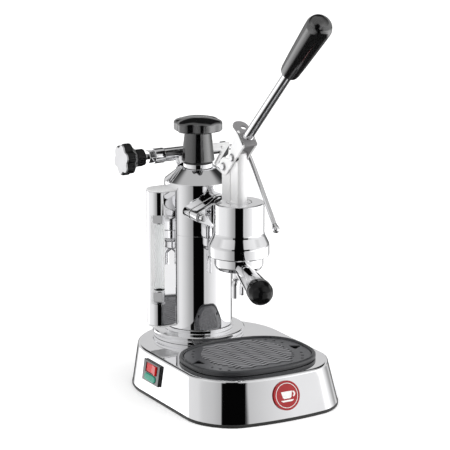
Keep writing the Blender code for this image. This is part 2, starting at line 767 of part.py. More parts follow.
def make_lever():
    """Local Z runs up the lever from the fulcrum, and local X is the hinge axis."""
    axis = empty("lever_axis", FULCRUM, (90 - LEVER_RISE, 0, 0))
    outline = [(-9.4, WEB_AT + FORK_PLATE), (-9.2, 24)] + arc((0, 0), 9.8, 180, 360, 8)
    outline += [(9.8, 12), (9.6, 28), (19, 49), (20, WEB_AT + FORK_PLATE)]
    middle = FORK_HALF - FORK_PLATE / 2
    plates = []
    for side, x in (("left", -middle), ("right", middle)):
        frame = axes((x, 0, 0), (0, 1, 0), (0, 0, 1))
        material = "chrome" if side == "left" else None
        name = "lever_fork" if side == "left" else "fork_arm_right"
        plates.append(extruded(name, [outline], FORK_PLATE, frame, material, axis))
    web = [(-FORK_HALF, -9.4), (FORK_HALF, -9.4)] + arc((0, 15.4), FORK_HALF, 0, 180, 10)
    frame = axes((0, 0, WEB_AT + FORK_PLATE / 2), (1, 0, 0), (0, 1, 0))
    web = extruded("fork_web", [web], FORK_PLATE, frame, parent=axis)
    fork = join(plates[0], web, plates[1])

    lift = Matrix.Rotation(math.radians(LEVER_RISE - 90), 4, "X")
    pin_offset = Vector((0, GROUP_Y - FULCRUM[1], PISTON_PIN_Z - FULCRUM[2]))
    pin_at = lift @ pin_offset
    for name, (_, y, z) in (("fulcrum", (0, 0, 0)), ("piston", pin_at)):
        hole = bar(f"{name}_pin_cutter", (-20, y, z), (20, y, z), 3.3, steps=SMALL, parent=axis)
        cut(fork, hole)
        profile = [(0, 11.4), (3.4, 11.2), (4.4, 10.4), (4.4, 9.5), (3.0, 9.5)]
        profile += [(r, -h) for r, h in reversed(profile)]
        turned(f"{name}_pin", profile, "steel", SMALL, at=(0, y, z), turn=(0, 90, 0), parent=axis)

    base = WEB_AT + FORK_PLATE + GAP
    at = (0, ROD_OFFSET, 0)
    shaft = [(0, 208), (LEVER_ROD_RADIUS, 208), (LEVER_ROD_RADIUS, base), (0, base)]
    turned("lever_rod", shaft, "chrome", 20, at=at, parent=axis)
    grip = [(0, GRIP_EQUATOR + GRIP_DOME)]
    for angle in (20, 40, 60, 80):
        turn = math.radians(angle)
        grip.append((14.8 * math.sin(turn), GRIP_EQUATOR + GRIP_DOME * math.cos(turn)))
    grip += [(14.9, GRIP_EQUATOR - 3), (13.6, 241), (12.2, 210), (10.9, 189), (9.6, GRIP_START + 1)]
    grip += [(8.0, GRIP_START), (5.9, GRIP_START), (5.9, 209), (0, 209)]
    turned("lever_grip", grip, "bakelite", at=at, parent=axis)


# ---------------------------------------------------------------- portafilter


def make_portafilter():
    """Local -Y points along the handle."""
    axis = empty("portafilter_axis", (0, GROUP_Y, 0), (0, 0, HANDLE_TURN))
    cup = [
        (24.9, COLLAR_RIM),
        (COLLAR_RADIUS - 0.4, COLLAR_RIM),
        (COLLAR_RADIUS, COLLAR_RIM - 1),
        (COLLAR_RADIUS, 160.5),
        (27.9, 157.2),
        (26.2, 155.0),
        (23, COLLAR_BOTTOM),
        (9.2, COLLAR_BOTTOM),
        (9.2, 151.0),
        (3.0, 151.0),
        (3.0, 158.0),
        (24.9, 158.8),
    ]
    body = turned("portafilter_body", cup, "chrome", WIDE, parent=axis)
    neck = bar("handle_neck", (0, -26.3, HANDLE_Z), (0, -NECK_END, HANDLE_Z), 9.5, end_radius=13.3, parent=axis)
    left = block("bayonet_lug_left", (-29.8, -6, 170.6), (-27, 6, 173.4), parent=axis)
    right = block("bayonet_lug_right", (27, -6, 170.6), (29.8, 6, 173.4), parent=axis)
    join(body, neck, left, right)

    length = GRIP_END - NECK_END
    grip = [(0, length), (4.5, length - 0.8), (9, length - 3.6), (12.4, length - 8)]
    grip += [(14.2, length - 13), (14.4, length - 17), (14.1, 3), (13.4, GAP), (0, GAP)]
    at = (0, -NECK_END, HANDLE_Z)
    turned("portafilter_grip", grip, "bakelite", at=at, turn=(90, 0, 0), parent=axis)

    hub = turned("spout", disc(8.0, 140, 150.7), "chrome", SMALL, parent=axis)
    for side in (-1, 1):
        x, y = side * 8.2 * math.cos(SPOUT_TURN), side * 8.2 * math.sin(SPOUT_TURN)
        route = [(0, 0, 144), (x, y, 138), (x, y, 120.5)]
        name = "spout_left" if side < 0 else "spout_right"
        join(hub, tube(name, rounded_route(route, 4.8, 4), 4.6, parent=axis))

    basket = [(0, 160.0), (23.5, 160.0)]
    wall = [(23.5, 174.8), (27.9, 174.8), (27.9, 173.8), (24.3, 173.8), (24.3, 159.2), (0, 159.2)]
    turned("filter_basket", basket + wall, "steel", at=(0, GROUP_Y, 0))


# ---------------------------------------------------------------- steam valve


def make_steam():
    along = (0, 90, 0)
    at = (0, VALVE_Y, VALVE_Z)
    body = [
        (0, VALVE_END - GAP),
        (6.2, VALVE_END - GAP),
        (6.2, 10),
        (8.0, 8),
        (8.0, -29),
        (9.0, -29.4),
        (9.0, -42.4),
        (3.9, -42.4),
        (3.9, -28),
        (0, -28),
    ]
    valve = turned("steam_valve_body", body, "chrome", at=at, turn=along)
    # The boss stands square on the shoulder's slope.
    slope = Vector((0, CONE_TOP - SHOULDER, BOILER_RADIUS - CONE_TOP_RADIUS)).normalized()
    foot = Vector((-4, 27.0, 251.7)) + slope * GAP
    boss = bar("valve_boss", foot, foot + slope * 15, 10.2)
    core = bar("valve_core_cutter", (-42.5, VALVE_Y, VALVE_Z), (-28, VALVE_Y, VALVE_Z), 3.9, steps=SMALL)
    join(valve, boss)
    cut(valve, core)

    nut_frame = axes((-46.2, VALVE_Y, VALVE_Z), (0, 1, 0), (0, 0, 1))
    outlines = [hexagon(14.0), arc((0, 0), 3.9, 0, 330, 11)]
    extruded("packing_nut", outlines, 7.0, nut_frame, "chrome")

    axis = empty("knob_axis", (0, VALVE_Y, VALVE_Z), (0, -90, 0))
    turned("valve_stem", disc(3.5, 29, 55.2), "steel", SMALL, parent=axis)
    rings = []
    stages = ((9.6, 55.5, 0), (10.6, 57.5, 0.4), (10.6, 67, 0.4), (14.5, 69.5, 0.8), (15.4, 73, 1))
    for radius, height, depth in stages:
        rings.append(cap_outline(radius, height, depth))
    for radius, height in ((18.4, 74.5), (19.4, 76), (19.4, 82), (18.6, 83.4)):
        rings.append(cap_outline(radius, height, 1.8))
    loft("steam_knob", rings, "bakelite", parent=axis)
    face = [cap_outline(18.0, 83.7, 1.7), cap_outline(17.4, 85.0, 1.7)]
    loft("knob_face", face, "knob_metal", parent=axis)

    outline = [(30, 275.6), (54.4, 275.6), (52.8, 260.5), (36.5, 248.5), (34.4, 251), (44.2, 266.5), (30, 266.5)]
    bracket = extruded("valve_bracket", [outline], 4.0, axes((0, 22, 0), (1, 0, 0), (0, 0, 1)), "chrome")
    join(bracket, block("bracket_foot", (31, 23, 267), (43, 27.6, 274.5)))
    clear = bar("bracket_cutter", (20, VALVE_Y, VALVE_Z), (70, VALVE_Y, VALVE_Z), 6.2 + GAP)
    cut(bracket, clear)

    swivel = (VALVE_END, VALVE_Y, VALVE_Z)
    nut = axes((VALVE_END + 4.5, VALVE_Y, VALVE_Z), (0, 1, 0), (0, 0, 1))
    nut = extruded("wand_nut", [hexagon(14.0, 15), arc((0, 0), 3.5, 0, 330, 11)], 8.0, nut, "chrome")
    set_origin(nut, swivel)
    bend = Vector((85, 16, 240.5))
    tip = Vector((84.5, -34, 182))
    route = [(VALVE_END + 0.6, VALVE_Y, VALVE_Z), (82, VALVE_Y, VALVE_Z), bend, tip]
    wand = tube("steam_wand", rounded_route(route, 14, 6), WAND_RADIUS, "chrome")
    set_origin(wand, swivel)
    down = (tip - bend).normalized()
    end = [(0, 11), (2.2, 10.6), (4.2, 8.4), (4.6, 6), (4.2, 3.4), (3.3, 1.2), (3.1, GAP), (0, GAP)]
    ball = turned("wand_tip", end, "chrome", SMALL)
    ball.location = tip * MM
    ball.rotation_euler = down.to_track_quat("Z", "Y").to_euler()

    relief = [(0, 22), (3.2, 22), (4, 21), (4, 17), (6, 16), (6, 8), (5, 7), (5, 0), (0, 0)]
    turned("safety_valve", relief, "brass", SMALL, at=(19, VALVE_Y, VALVE_Z + 6.2 + GAP))


def main():
    make_base()
    make_badge()
    make_switch()
    make_tray()
    make_boiler()
    make_cap()
    make_gauge()
    make_group()
    make_piston()
    make_lever()
    make_portafilter()
    make_steam()


main()
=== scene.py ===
"""Looks of the lever espresso machine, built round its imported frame.

Lengths are millimetres in the frame's axes: +Z up, -Y the front. Helpers turn them into metres.
"""

import json
import math

import bmesh
import bpy
from mathutils import Matrix, Vector


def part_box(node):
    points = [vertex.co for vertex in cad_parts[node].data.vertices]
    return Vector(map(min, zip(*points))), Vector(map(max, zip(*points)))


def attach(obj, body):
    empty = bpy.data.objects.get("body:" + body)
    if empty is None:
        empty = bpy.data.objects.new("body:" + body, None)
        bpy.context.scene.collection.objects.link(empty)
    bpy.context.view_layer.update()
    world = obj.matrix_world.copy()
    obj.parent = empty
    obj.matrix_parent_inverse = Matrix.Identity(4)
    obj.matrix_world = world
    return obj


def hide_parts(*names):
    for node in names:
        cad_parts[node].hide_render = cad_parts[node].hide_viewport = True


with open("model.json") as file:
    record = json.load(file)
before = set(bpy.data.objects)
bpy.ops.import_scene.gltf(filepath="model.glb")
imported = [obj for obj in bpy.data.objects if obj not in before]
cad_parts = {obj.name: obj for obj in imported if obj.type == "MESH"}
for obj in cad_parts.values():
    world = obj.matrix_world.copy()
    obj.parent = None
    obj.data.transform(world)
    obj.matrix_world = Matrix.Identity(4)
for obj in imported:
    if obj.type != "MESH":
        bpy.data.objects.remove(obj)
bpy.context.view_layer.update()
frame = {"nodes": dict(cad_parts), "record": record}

MM = 0.001
FINE = 144  # facets round a large turned piece
MEDIUM = 96
SMALL = 48
SHARP = 30  # degrees between two faces that meet in a crisp edge

BOX = {node: [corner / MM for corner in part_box(node)] for node in frame["nodes"]}
BEHAVIOUR = frame["record"]["behaviour"]
HINGES = {joint["name"]: joint for joint in BEHAVIOUR["joints"]}
BODIES = {node: body for body, nodes in BEHAVIOUR["bodies"].items() for node in nodes}
SLOTS = {part["node"]: part["material_slot"] for part in frame["record"]["subparts"]}


def low(node):
    return BOX[node][0].z


def top(node):
    return BOX[node][1].z


def centre(node):
    return (BOX[node][0] + BOX[node][1]) / 2


def pivot(joint):
    return Vector(HINGES[joint]["pos_m"]) / MM


# ---------------------------------------------------------------- materials


def new_node(tree, kind, **values):
    node = tree.nodes.new(kind)
    for key, value in values.items():
        setattr(node, key, value)
    return node


def surface(
    name, color, roughness, metallic, spread, patch, grain, relief, tint=0.06, **extras
):
    """A Principled surface whose gloss, tone and fine relief vary over the object.

    Patch and grain are noise scales, relief is a depth in metres, and spread and tint are shares.
    """
    material = bpy.data.materials.new(name)
    material.use_nodes = True
    tree = material.node_tree
    shader = tree.nodes["Principled BSDF"]
    shader.inputs["Metallic"].default_value = metallic
    for socket, value in extras.items():
        shader.inputs[socket.replace("_", " ")].default_value = value
    where = new_node(tree, "ShaderNodeTexCoord")

    cloud = new_node(tree, "ShaderNodeTexNoise")
    cloud.inputs["Scale"].default_value = patch
    cloud.inputs["Detail"].default_value = 5
    tree.links.new(where.outputs["Object"], cloud.inputs["Vector"])
    gloss = new_node(tree, "ShaderNodeMapRange")
    gloss.inputs["From Min"].default_value = 0.3
    gloss.inputs["From Max"].default_value = 0.7
    gloss.inputs["To Min"].default_value = max(roughness - spread, 0.0)
    gloss.inputs["To Max"].default_value = roughness + spread
    tree.links.new(cloud.outputs["Fac"], gloss.inputs["Value"])
    tree.links.new(gloss.outputs["Result"], shader.inputs["Roughness"])

    shade = new_node(tree, "ShaderNodeValToRGB")
    shade.color_ramp.elements[0].position = 0.3
    shade.color_ramp.elements[1].position = 0.7
    shade.color_ramp.elements[0].color = (*[c * (1 - tint) for c in color], 1)
    shade.color_ramp.elements[1].color = (*[min(c * (1 + tint), 1) for c in color], 1)
    tree.links.new(cloud.outputs["Fac"], shade.inputs["Fac"])
    tree.links.new(shade.outputs["Color"], shader.inputs["Base Color"])

    fine = new_node(tree, "ShaderNodeTexNoise")
    fine.inputs["Scale"].default_value = grain
    fine.inputs["Detail"].default_value = 3
    tree.links.new(where.outputs["Object"], fine.inputs["Vector"])
    bump = new_node(tree, "ShaderNodeBump")
    bump.inputs["Strength"].default_value = 1.0
    bump.inputs["Distance"].default_value = relief
    tree.links.new(fine.outputs["Fac"], bump.inputs["Height"])
    tree.links.new(bump.outputs["Normal"], shader.inputs["Normal"])
    return material


# Each surface is (name, colour, roughness, metallic, spread, patch, grain, relief, tint).
CHROME = surface("chrome", (0.93, 0.93, 0.94), 0.035, 1.0, 0.012, 30, 45, 0.000004, 0.015)
STEEL = surface("steel", (0.62, 0.62, 0.63), 0.22, 1.0, 0.06, 120, 700, 0.00001)
BRASS = surface("brass", (0.72, 0.53, 0.26), 0.25, 1.0, 0.06, 90, 500, 0.00001)
BAKELITE = surface(
    "bakelite", (0.003, 0.003, 0.0032), 0.09, 0.0, 0.03, 45, 260, 0.000006, 0.2, IOR=2.3
)
JET = surface(
    "jet_bakelite", (0.003, 0.003, 0.0032), 0.12, 0.0, 0.03, 45, 260, 0.000006, 0.2, IOR=1.35
)
BRIGHT = surface("bright_satin", (0.9, 0.9, 0.9), 0.35, 0.35, 0.04, 60, 400, 0.000006, 0.02)
PLASTIC = surface(
    "moulded_plastic", (0.03, 0.031, 0.034), 0.3, 0.0, 0.05, 70, 2600, 0.00002, 0.12, IOR=1.6
)
GRAPHITE = surface(
    "grille_plastic", (0.085, 0.086, 0.092), 0.34, 0.0, 0.05, 70, 2600, 0.00003, 0.12, IOR=1.6
)
# Lighter ridges on the grille: painted highlight where the rounded ridges catch the light.
GLEAM = surface("ridge_painted_highlight", (0.3, 0.3, 0.31), 0.2, 0.0, 0.05, 70, 1500, 0.00001, 0.1, IOR=1.9)
# A darker copy of the fork's bright steel: painted shade on the fork's web and inner faces.
SHADED_STEEL = surface("painted_shade_steel", (0.25, 0.245, 0.25), 0.55, 0.2, 0.05, 60, 400, 0.000006, 0.05)
# The gauge liner glows faintly: painted light, standing in for light bouncing inside the guard.
GLOWING_LINER = surface(
    "gauge_liner_painted_glow", (0.9, 0.9, 0.9), 0.5, 0.0, 0.04, 60, 400, 0.000004, 0.02,
    Emission_Color=(1, 1, 1, 1), Emission_Strength=0.26,
)
RUBBER = surface("rubber", (0.018, 0.018, 0.017), 0.55, 0.0, 0.08, 90, 1800, 0.00004, 0.2)
KNOB_METAL = surface("satin_metal", (0.66, 0.66, 0.67), 0.38, 1.0, 0.05, 80, 1400, 0.00002)
RED = surface("red_plastic", (0.62, 0.012, 0.012), 0.2, 0.0, 0.04, 80, 900, 0.00001, 0.12)
ENAMEL = surface("red_enamel", (0.35, 0.022, 0.024), 0.14, 0.0, 0.04, 60, 500, 0.000008, 0.1)
WHITE = surface("white_enamel", (0.86, 0.85, 0.83), 0.16, 0.0, 0.04, 60, 500, 0.000008, 0.03)
GREEN = surface(
    "green_lens", (0.05, 0.42, 0.29), 0.16, 0.0, 0.04, 60, 1500, 0.00003, 0.1,
    Transmission_Weight=0.25,
)
GLASS = surface(
    "gauge_glass", (0.98, 0.99, 0.99), 0.012, 0.0, 0.008, 50, 300, 0.000002, 0.01,
    Transmission_Weight=1.0, IOR=1.15,
)


# ---------------------------------------------------------------- shape helpers


def fillet(points, closed=False, turn=9.0):
    """Rounds each corner given as (x, y, radius), and leaves one given as (x, y) sharp."""
    result = []
    count = len(points)
    for i, point in enumerate(points):
        here = Vector(point[:2])
        radius = point[2] if len(point) > 2 else 0.0
        if not radius or (not closed and i in (0, count - 1)):
            result.append(tuple(here))
            continue
        before = Vector(points[i - 1][:2]) - here
        after = Vector(points[(i + 1) % count][:2]) - here
        angle = before.angle(after)
        reach = min(radius / math.tan(angle / 2), 0.49 * min(before.length, after.length))
        radius = reach * math.tan(angle / 2)
        middle = here + (before.normalized() + after.normalized()).normalized() * (
            radius / math.sin(angle / 2)
        )
        start = here + before.normalized() * reach - middle
        sweep = math.pi - angle
        steps = max(2, math.ceil(math.degrees(sweep) / turn))
        side = 1 if before.x * after.y - before.y * after.x < 0 else -1
        for k in range(steps + 1):
            spoke = Matrix.Rotation(side * sweep * k / steps, 2) @ start
            result.append(tuple(middle + spoke))
    return result


def axes(origin, along_x, along_y):
    """A frame at a point in millimetres, with two square directions."""
    x, y = Vector(along_x).normalized(), Vector(along_y).normalized()
    matrix = Matrix((x, y, x.cross(y))).transposed().to_4x4()
    matrix.translation = Vector(origin)
    return matrix


def along(origin, direction):
    """A frame whose Z points along a direction."""
    matrix = Vector(direction).to_track_quat("Z", "Y").to_matrix().to_4x4()
    matrix.translation = Vector(origin)
    return matrix


def finish_piece(name, mesh, material, body, node=None):
    mesh.shade_smooth()
    mesh.set_sharp_from_angle(angle=math.radians(SHARP))
    mesh.materials.clear()
    mesh.materials.append(material)
    obj = bpy.data.objects.new(name, mesh)
    bpy.context.scene.collection.objects.link(obj)
    weighted = obj.modifiers.new("Weighted", "WEIGHTED_NORMAL")
    weighted.keep_sharp = True
    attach(obj, body)
    if node:
        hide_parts(node)
    return obj


def stand_in(name, mesh, node, material=CHROME):
    """A finer piece in place of a CAD node, on the node's body."""
    return finish_piece(name, mesh, material, BODIES[node], node)


def mesh_from(name, bm, place=None):
    bmesh.ops.recalc_face_normals(bm, faces=bm.faces)
    bm.transform(Matrix.Scale(MM, 4) @ (place or Matrix.Identity(4)))
    mesh = bpy.data.meshes.new(name)
    bm.to_mesh(mesh)
    bm.free()
    return mesh


def revolved(name, profile, place=None, steps=MEDIUM):
    """A closed turned form. Each point is (radius, height) or (radius, height, corner radius)."""
    ring = profile[0][0] > 0
    points = fillet(profile, closed=ring)
    bm = bmesh.new()
    rows = []
    for radius, height in points:
        if radius < 1e-6:
            rows.append([bm.verts.new((0, 0, height))])
            continue
        row = []
        for k in range(steps):
            angle = math.tau * k / steps
            row.append(bm.verts.new((radius * math.cos(angle), radius * math.sin(angle), height)))
        rows.append(row)
    pairs = list(zip(rows, rows[1:])) + ([(rows[-1], rows[0])] if ring else [])
    for upper, lower in pairs:
        for k in range(steps):
            corners = [upper[k % len(upper)], upper[(k + 1) % len(upper)]]
            corners += [lower[(k + 1) % len(lower)], lower[k % len(lower)]]
            corners = list(dict.fromkeys(corners))
            if len(corners) > 2:
                bm.faces.new(corners)
    return mesh_from(name, bm, place)


def lofted(name, rings, place=None):
    """Skins equal rings of points, with flat ends."""
    bm = bmesh.new()
    rows = [[bm.verts.new(point) for point in ring] for ring in rings]
    for lower, upper in zip(rows, rows[1:]):
        for i, corner in enumerate(lower):
            after = (i + 1) % len(lower)
            bm.faces.new((corner, lower[after], upper[after], upper[i]))
    bm.faces.new(rows[0][::-1])
    bm.faces.new(rows[-1])
    return mesh_from(name, bm, place)


def from_curve(name, curve, place):
    guide = bpy.data.objects.new(name + "_guide", curve)
    bpy.context.scene.collection.objects.link(guide)
    bpy.context.view_layer.update()
    graph = bpy.context.evaluated_depsgraph_get()
    mesh = bpy.data.meshes.new_from_object(guide.evaluated_get(graph))
    bpy.data.objects.remove(guide)
    bpy.data.curves.remove(curve)
    bm = bmesh.new()
    bm.from_mesh(mesh)
    bpy.data.meshes.remove(mesh)
    bmesh.ops.remove_doubles(bm, verts=bm.verts, dist=0.002)
    return mesh_from(name, bm, place)


def plate(name, outlines, depth, place, edge=0.4):
    """Flat outlines, filled, thickened about the frame's XY plane, with rounded edges."""
    curve = bpy.data.curves.new(name, "CURVE")
    curve.dimensions = "2D"
    curve.fill_mode = "BOTH"
    curve.extrude = depth / 2 - edge
    curve.bevel_depth = edge
    curve.bevel_resolution = 2
    curve.offset = -edge
    for outline in outlines:
        spline = curve.splines.new("POLY")
        spline.points.add(len(outline) - 1)
        for point, (x, y) in zip(spline.points, outline):
            point.co = (x, y, 0, 1)
        spline.use_cyclic_u = True
    return from_curve(name, curve, place)


def tube(name, points, radius, place=None, resolution=8):
    curve = bpy.data.curves.new(name, "CURVE")
    curve.dimensions = "3D"
    curve.bevel_depth = radius
    curve.bevel_resolution = resolution
    curve.use_fill_caps = True
    spline = curve.splines.new("POLY")
    spline.points.add(len(points) - 1)
    for point, (x, y, z) in zip(spline.points, points):
        point.co = (x, y, z, 1)
    return from_curve(name, curve, place)


def box_mesh(name, lower, upper, place=None, edge=0.0):
    bm = bmesh.new()
    bmesh.ops.create_cube(bm, size=1.0)
    lower, upper = Vector(lower), Vector(upper)
    bm.transform(Matrix.Translation((lower + upper) / 2) @ Matrix.Diagonal((*(upper - lower), 1)))
    if edge:
        bmesh.ops.bevel(bm, geom=bm.edges[:], offset=edge, segments=3, profile=0.5, affect="EDGES")
    return mesh_from(name, bm, place)


def merged(name, *meshes):
    """Several meshes as one, side by side."""
    bm = bmesh.new()
    for mesh in meshes:
        bm.from_mesh(mesh)
        bpy.data.meshes.remove(mesh)
    mesh = bpy.data.meshes.new(name)
    bm.to_mesh(mesh)
    bm.free()
    return mesh


def booleaned(name, mesh, operation, *others):
    """A mesh after an exact Boolean with each of the others."""
    base = bpy.data.objects.new(name, mesh)
    bpy.context.scene.collection.objects.link(base)
    helpers = []
    for other in others:
        helper = bpy.data.objects.new(name + "_tool", other)
        bpy.context.scene.collection.objects.link(helper)
        helpers.append(helper)
        modifier = base.modifiers.new("Cut", "BOOLEAN")
        modifier.operation = operation
        modifier.object = helper
    bpy.context.view_layer.update()
    graph = bpy.context.evaluated_depsgraph_get()
    result = bpy.data.meshes.new_from_object(base.evaluated_get(graph))
    for helper in [base, *helpers]:
        data = helper.data
        bpy.data.objects.remove(helper)
        bpy.data.meshes.remove(data)
    return result


def arc(centre, radius, start, end, count):
    angles = [math.radians(start + (end - start) * i / count) for i in range(count + 1)]
    return [(centre[0] + radius * math.cos(a), centre[1] + radius * math.sin(a)) for a in angles]


def hole(centre, radius):
    return arc(centre, radius, 0, 345, 23)


def bent(points, radius, count=10):
    """A route with each inner corner eased into a curve."""
    points = [Vector(point) for point in points]
    route = [points[0]]
    for before, corner, after in zip(points, points[1:], points[2:]):
        start = corner + (before - corner).normalized() * radius
        end = corner + (after - corner).normalized() * radius
        for i in range(count + 1):
            t = i / count
            route.append(start * (1 - t) ** 2 + corner * 2 * t * (1 - t) + end * t * t)
    route.append(points[-1])
    return route


def hexagon(across_flats, turn=0.0):
    radius = across_flats / math.sqrt(3)
    corners = arc((0, 0), radius, turn, turn + 300, 5)
    return fillet([(x, y, 0.7) for x, y in corners], closed=True, turn=20)


def lobed(radius, height, depth, lobes=6, phase=40.0, count=192):
    ring = []
    for i in range(count):
        angle = math.tau * i / count
        swell = math.cos(lobes * (angle + math.radians(phase)))
        reach = radius - depth * (0.5 - 0.5 * swell) ** 1.5 * 2
        ring.append((reach * math.cos(angle), reach * math.sin(angle), height))
    return ring


# ---------------------------------------------------------------- base

SHELL_FOOT = 4.0  # height of the outline that the base tapers from
SHELL_LOW = low("base_shell") + 0.3
SHELL_TOP = top("base_shell")
EDGE = 3.0
BASE_HALF = (95.5, 88.5)
BASE_FRONT = (194.4, 182.2)
BASE_BACK = (54.8, 51.0)
BASE_FRONT_CORNER = 44.5
BASE_BACK_CORNER = (88.5, 85.0)
BASE_BOW = (13.8, 12.9)
BADGE_HEIGHT = 28.8
SWITCH_HEIGHT = 30.5


def between(pair, share):
    return pair[0] + (pair[1] - pair[0]) * share


def base_plan(height, inset=0.0):
    share = (height - SHELL_FOOT) / (SHELL_TOP - SHELL_FOOT)
    half = between(BASE_HALF, share) - inset
    front = between(BASE_FRONT, share) - inset
    back = between(BASE_BACK, share) - inset
    near = BASE_FRONT_CORNER - inset
    far = between(BASE_BACK_CORNER, share) - inset
    plan = arc((-half + near, near - front), near, 180, 270, 28)
    plan += [(x * (half - near) / 9, -front) for x in range(-8, 9)]
    plan += arc((half - near, near - front), near, 270, 360, 28)
    plan += [(half, near - front + (front - near + back - far) * k / 12) for k in range(1, 12)]
    plan += arc((half - far, back - far), far, 0, 90, 40)
    plan += arc((far - half, back - far), far, 90, 180, 40)[1:]
    plan += [(-half, back - far - (front - near + back - far) * k / 12) for k in range(1, 12)]
    bow = between(BASE_BOW, share)
    ring = []
    for x, y in plan:
        share = min(max((near - front - y) / near, 0.0), 1.0)
        # The bow eases in round each corner, so that the reflection runs on without a kink.
        share = share * share * (3 - 2 * share)
        ring.append((x, y - bow * share * (1 - (x / half) ** 2), height))
    return ring


TRAY = centre("drip_tray")
TRAY_LIP = 1.5  # how far the finer lip runs past the plain solid at each end
TRAY_HALF = (BOX["drip_tray"][1] - BOX["drip_tray"][0]) / 2 + Vector((TRAY_LIP, 0, 0))
RIM = top("drip_tray")
TRAY_LOW = low("drip_tray")
GRILLE_LOW = low("drip_grille")
GRILLE_TOP = top("drip_grille")


def tray_plan(inset, height, count=160, power=2.6):
    ring = []
    for i in range(count):
        angle = math.tau * i / count
        c, s = math.cos(angle), math.sin(angle)
        x = (TRAY_HALF.x - inset) * math.copysign(abs(c) ** (2 / power), c)
        y = (TRAY_HALF.y - inset) * math.copysign(abs(s) ** (2 / power), s)
        ring.append((x, TRAY.y + y, height))
    return ring


def make_base():
    rings = [base_plan(SHELL_LOW, 1.0), base_plan(SHELL_LOW)]
    rings += [base_plan(SHELL_LOW + (SHELL_TOP - EDGE - SHELL_LOW) * k / 6) for k in range(1, 7)]
    for angle in range(10, 91, 10):
        turn = math.radians(angle)
        inset = EDGE * (1 - math.cos(turn))
        height = SHELL_TOP - EDGE * (1 - math.sin(turn))
        rings.append([(x, y, height) for x, y, _ in base_plan(SHELL_TOP - EDGE, inset)])
    body = lofted("base_shell_body", rings)
    well = lofted("well", [tray_plan(6.2, 20), tray_plan(6.2, 60)])
    behind_switch = wall_frame("switch_housing", SWITCH_HEIGHT, True)
    opening = box_mesh("opening", (-17.7, -10.3, -14.1), (17.7, 10.3, 6), behind_switch)
    shell = booleaned("base_shell_body", body, "DIFFERENCE", well, opening)
    stand_in("pressed_base", shell, "base_shell")

    steps = ((1.5, 0.0), (-0.1, 0.25), (-0.6, 1.0), (-0.6, 3.1), (-0.1, 3.9), (1.0, 4.1))
    rings = [[(x, y, z) for x, y, _ in base_plan(SHELL_FOOT, inset)] for inset, z in steps]
    stand_in("base_edge_trim", lofted("trim", rings), "base_trim", RUBBER)


def make_tray():
    steps = [
        (8.5, TRAY_LOW),
        (7.2, TRAY_LOW + 1),
        (6.6, TRAY_LOW + 4),
        (6.6, SHELL_TOP + 0.3),
        (0.9, SHELL_TOP + 0.3),
        (0.4, SHELL_TOP + 0.6),
        (0.2, SHELL_TOP + 1.4),
        (0.1, SHELL_TOP + 3.2),
        (0.3, RIM - 1.6),
        (0.7, RIM - 0.8),
        (1.4, RIM - 0.2),
        (2.2, RIM),
        (3.2, RIM),
        (3.9, RIM - 0.25),
        (4.4, RIM - 0.9),
        (4.7, RIM - 1.8),
        (4.8, GRILLE_LOW - 0.3),
        (8.8, GRILLE_LOW - 0.3),
        (9.1, GRILLE_LOW - 1.5),
        (9.4, TRAY_LOW + 5),
        (10.8, TRAY_LOW + 2.6),
        (13.0, TRAY_LOW + 2.2),
    ]
    tray = lofted("tray", [tray_plan(inset, height) for inset, height in steps])
    stand_in("moulded_tray", tray, "drip_tray", PLASTIC)


def wavy_slot(y, half, width, wave=1.5, length=17.0, samples=34):
    middle = []
    for i in range(samples + 1):
        x = -half + 2 * half * i / samples
        middle.append((x, y + wave * math.sin(math.tau * x / length)))
    cap = [(half + width * 0.35, middle[-1][1])]
    start = [(-half - width * 0.35, middle[0][1])]
    upper = [(x, v + width / 2) for x, v in reversed(middle)]
    lower = [(x, v - width / 2) for x, v in middle]
    return lower + cap + upper + start


def make_grille():
    outline = [(x, y - TRAY.y) for x, y, _ in tray_plan(5.2, 0)]
    outlines = [outline]
    ridges = []
    pitch = 6.4
    for row in range(-7, 8):
        y = row * pitch
        half = 53.0 - 0.0100 * y * y - (3.5 if row == 0 else 0)
        outlines.append(wavy_slot(y, half, 2.6))
        crest = [(x, v + pitch / 2, 0) for x, v in wavy_slot(y, half - 1, 0)[:35]]
        ridges.append(tube("ridge", crest, 0.75, Matrix.Translation((0, TRAY.y, GRILLE_TOP)), 3))
    for side in (-1, 1):
        corners = [(side * x, y, 1.6) for x, y in ((73.0, 0.6), (59.5, 9.6), (59.5, -8.4))]
        outlines.append(fillet(corners, closed=True, turn=30))
        for angle in (-40, -30, -20, 20, 30, 40):
            turn = math.radians(angle)
            x, y = 63.0 * math.cos(turn) * side, 66.0 * math.sin(turn)
            outlines.append(arc((x, y), 1.9, 0, 330, 11))
    depth = GRILLE_TOP - GRILLE_LOW
    place = Matrix.Translation((0, TRAY.y, (GRILLE_LOW + GRILLE_TOP) / 2))
    grille = plate("grille", outlines, depth, place, 0.45)
    stand_in("slotted_grille", grille, "drip_grille", GRAPHITE)
    # The ridges carry a painted highlight, in a lighter colour than the grille.
    finish_piece("grille_ridges", merged("ridges", *ridges), GLEAM, "grille")


def wall_frame(node, height, sideways):
    """The frame on the base wall behind a fitting: X along the wall, Y up it, Z outward."""
    slope = SHELL_TOP - SHELL_FOOT
    if sideways:
        lean = (BASE_HALF[0] - BASE_HALF[1]) / slope
        wall = BASE_HALF[0] - lean * (height - SHELL_FOOT)
        return axes((-wall, centre(node).y, height), (0, -1, 0), (lean, 0, 1))
    lean = (BASE_FRONT[0] + BASE_BOW[0] - BASE_FRONT[1] - BASE_BOW[1]) / slope
    wall = BASE_FRONT[0] + BASE_BOW[0] - lean * (height - SHELL_FOOT)
    return axes((centre(node).x, -wall, height), (1, 0, 0), (0, lean, 1))


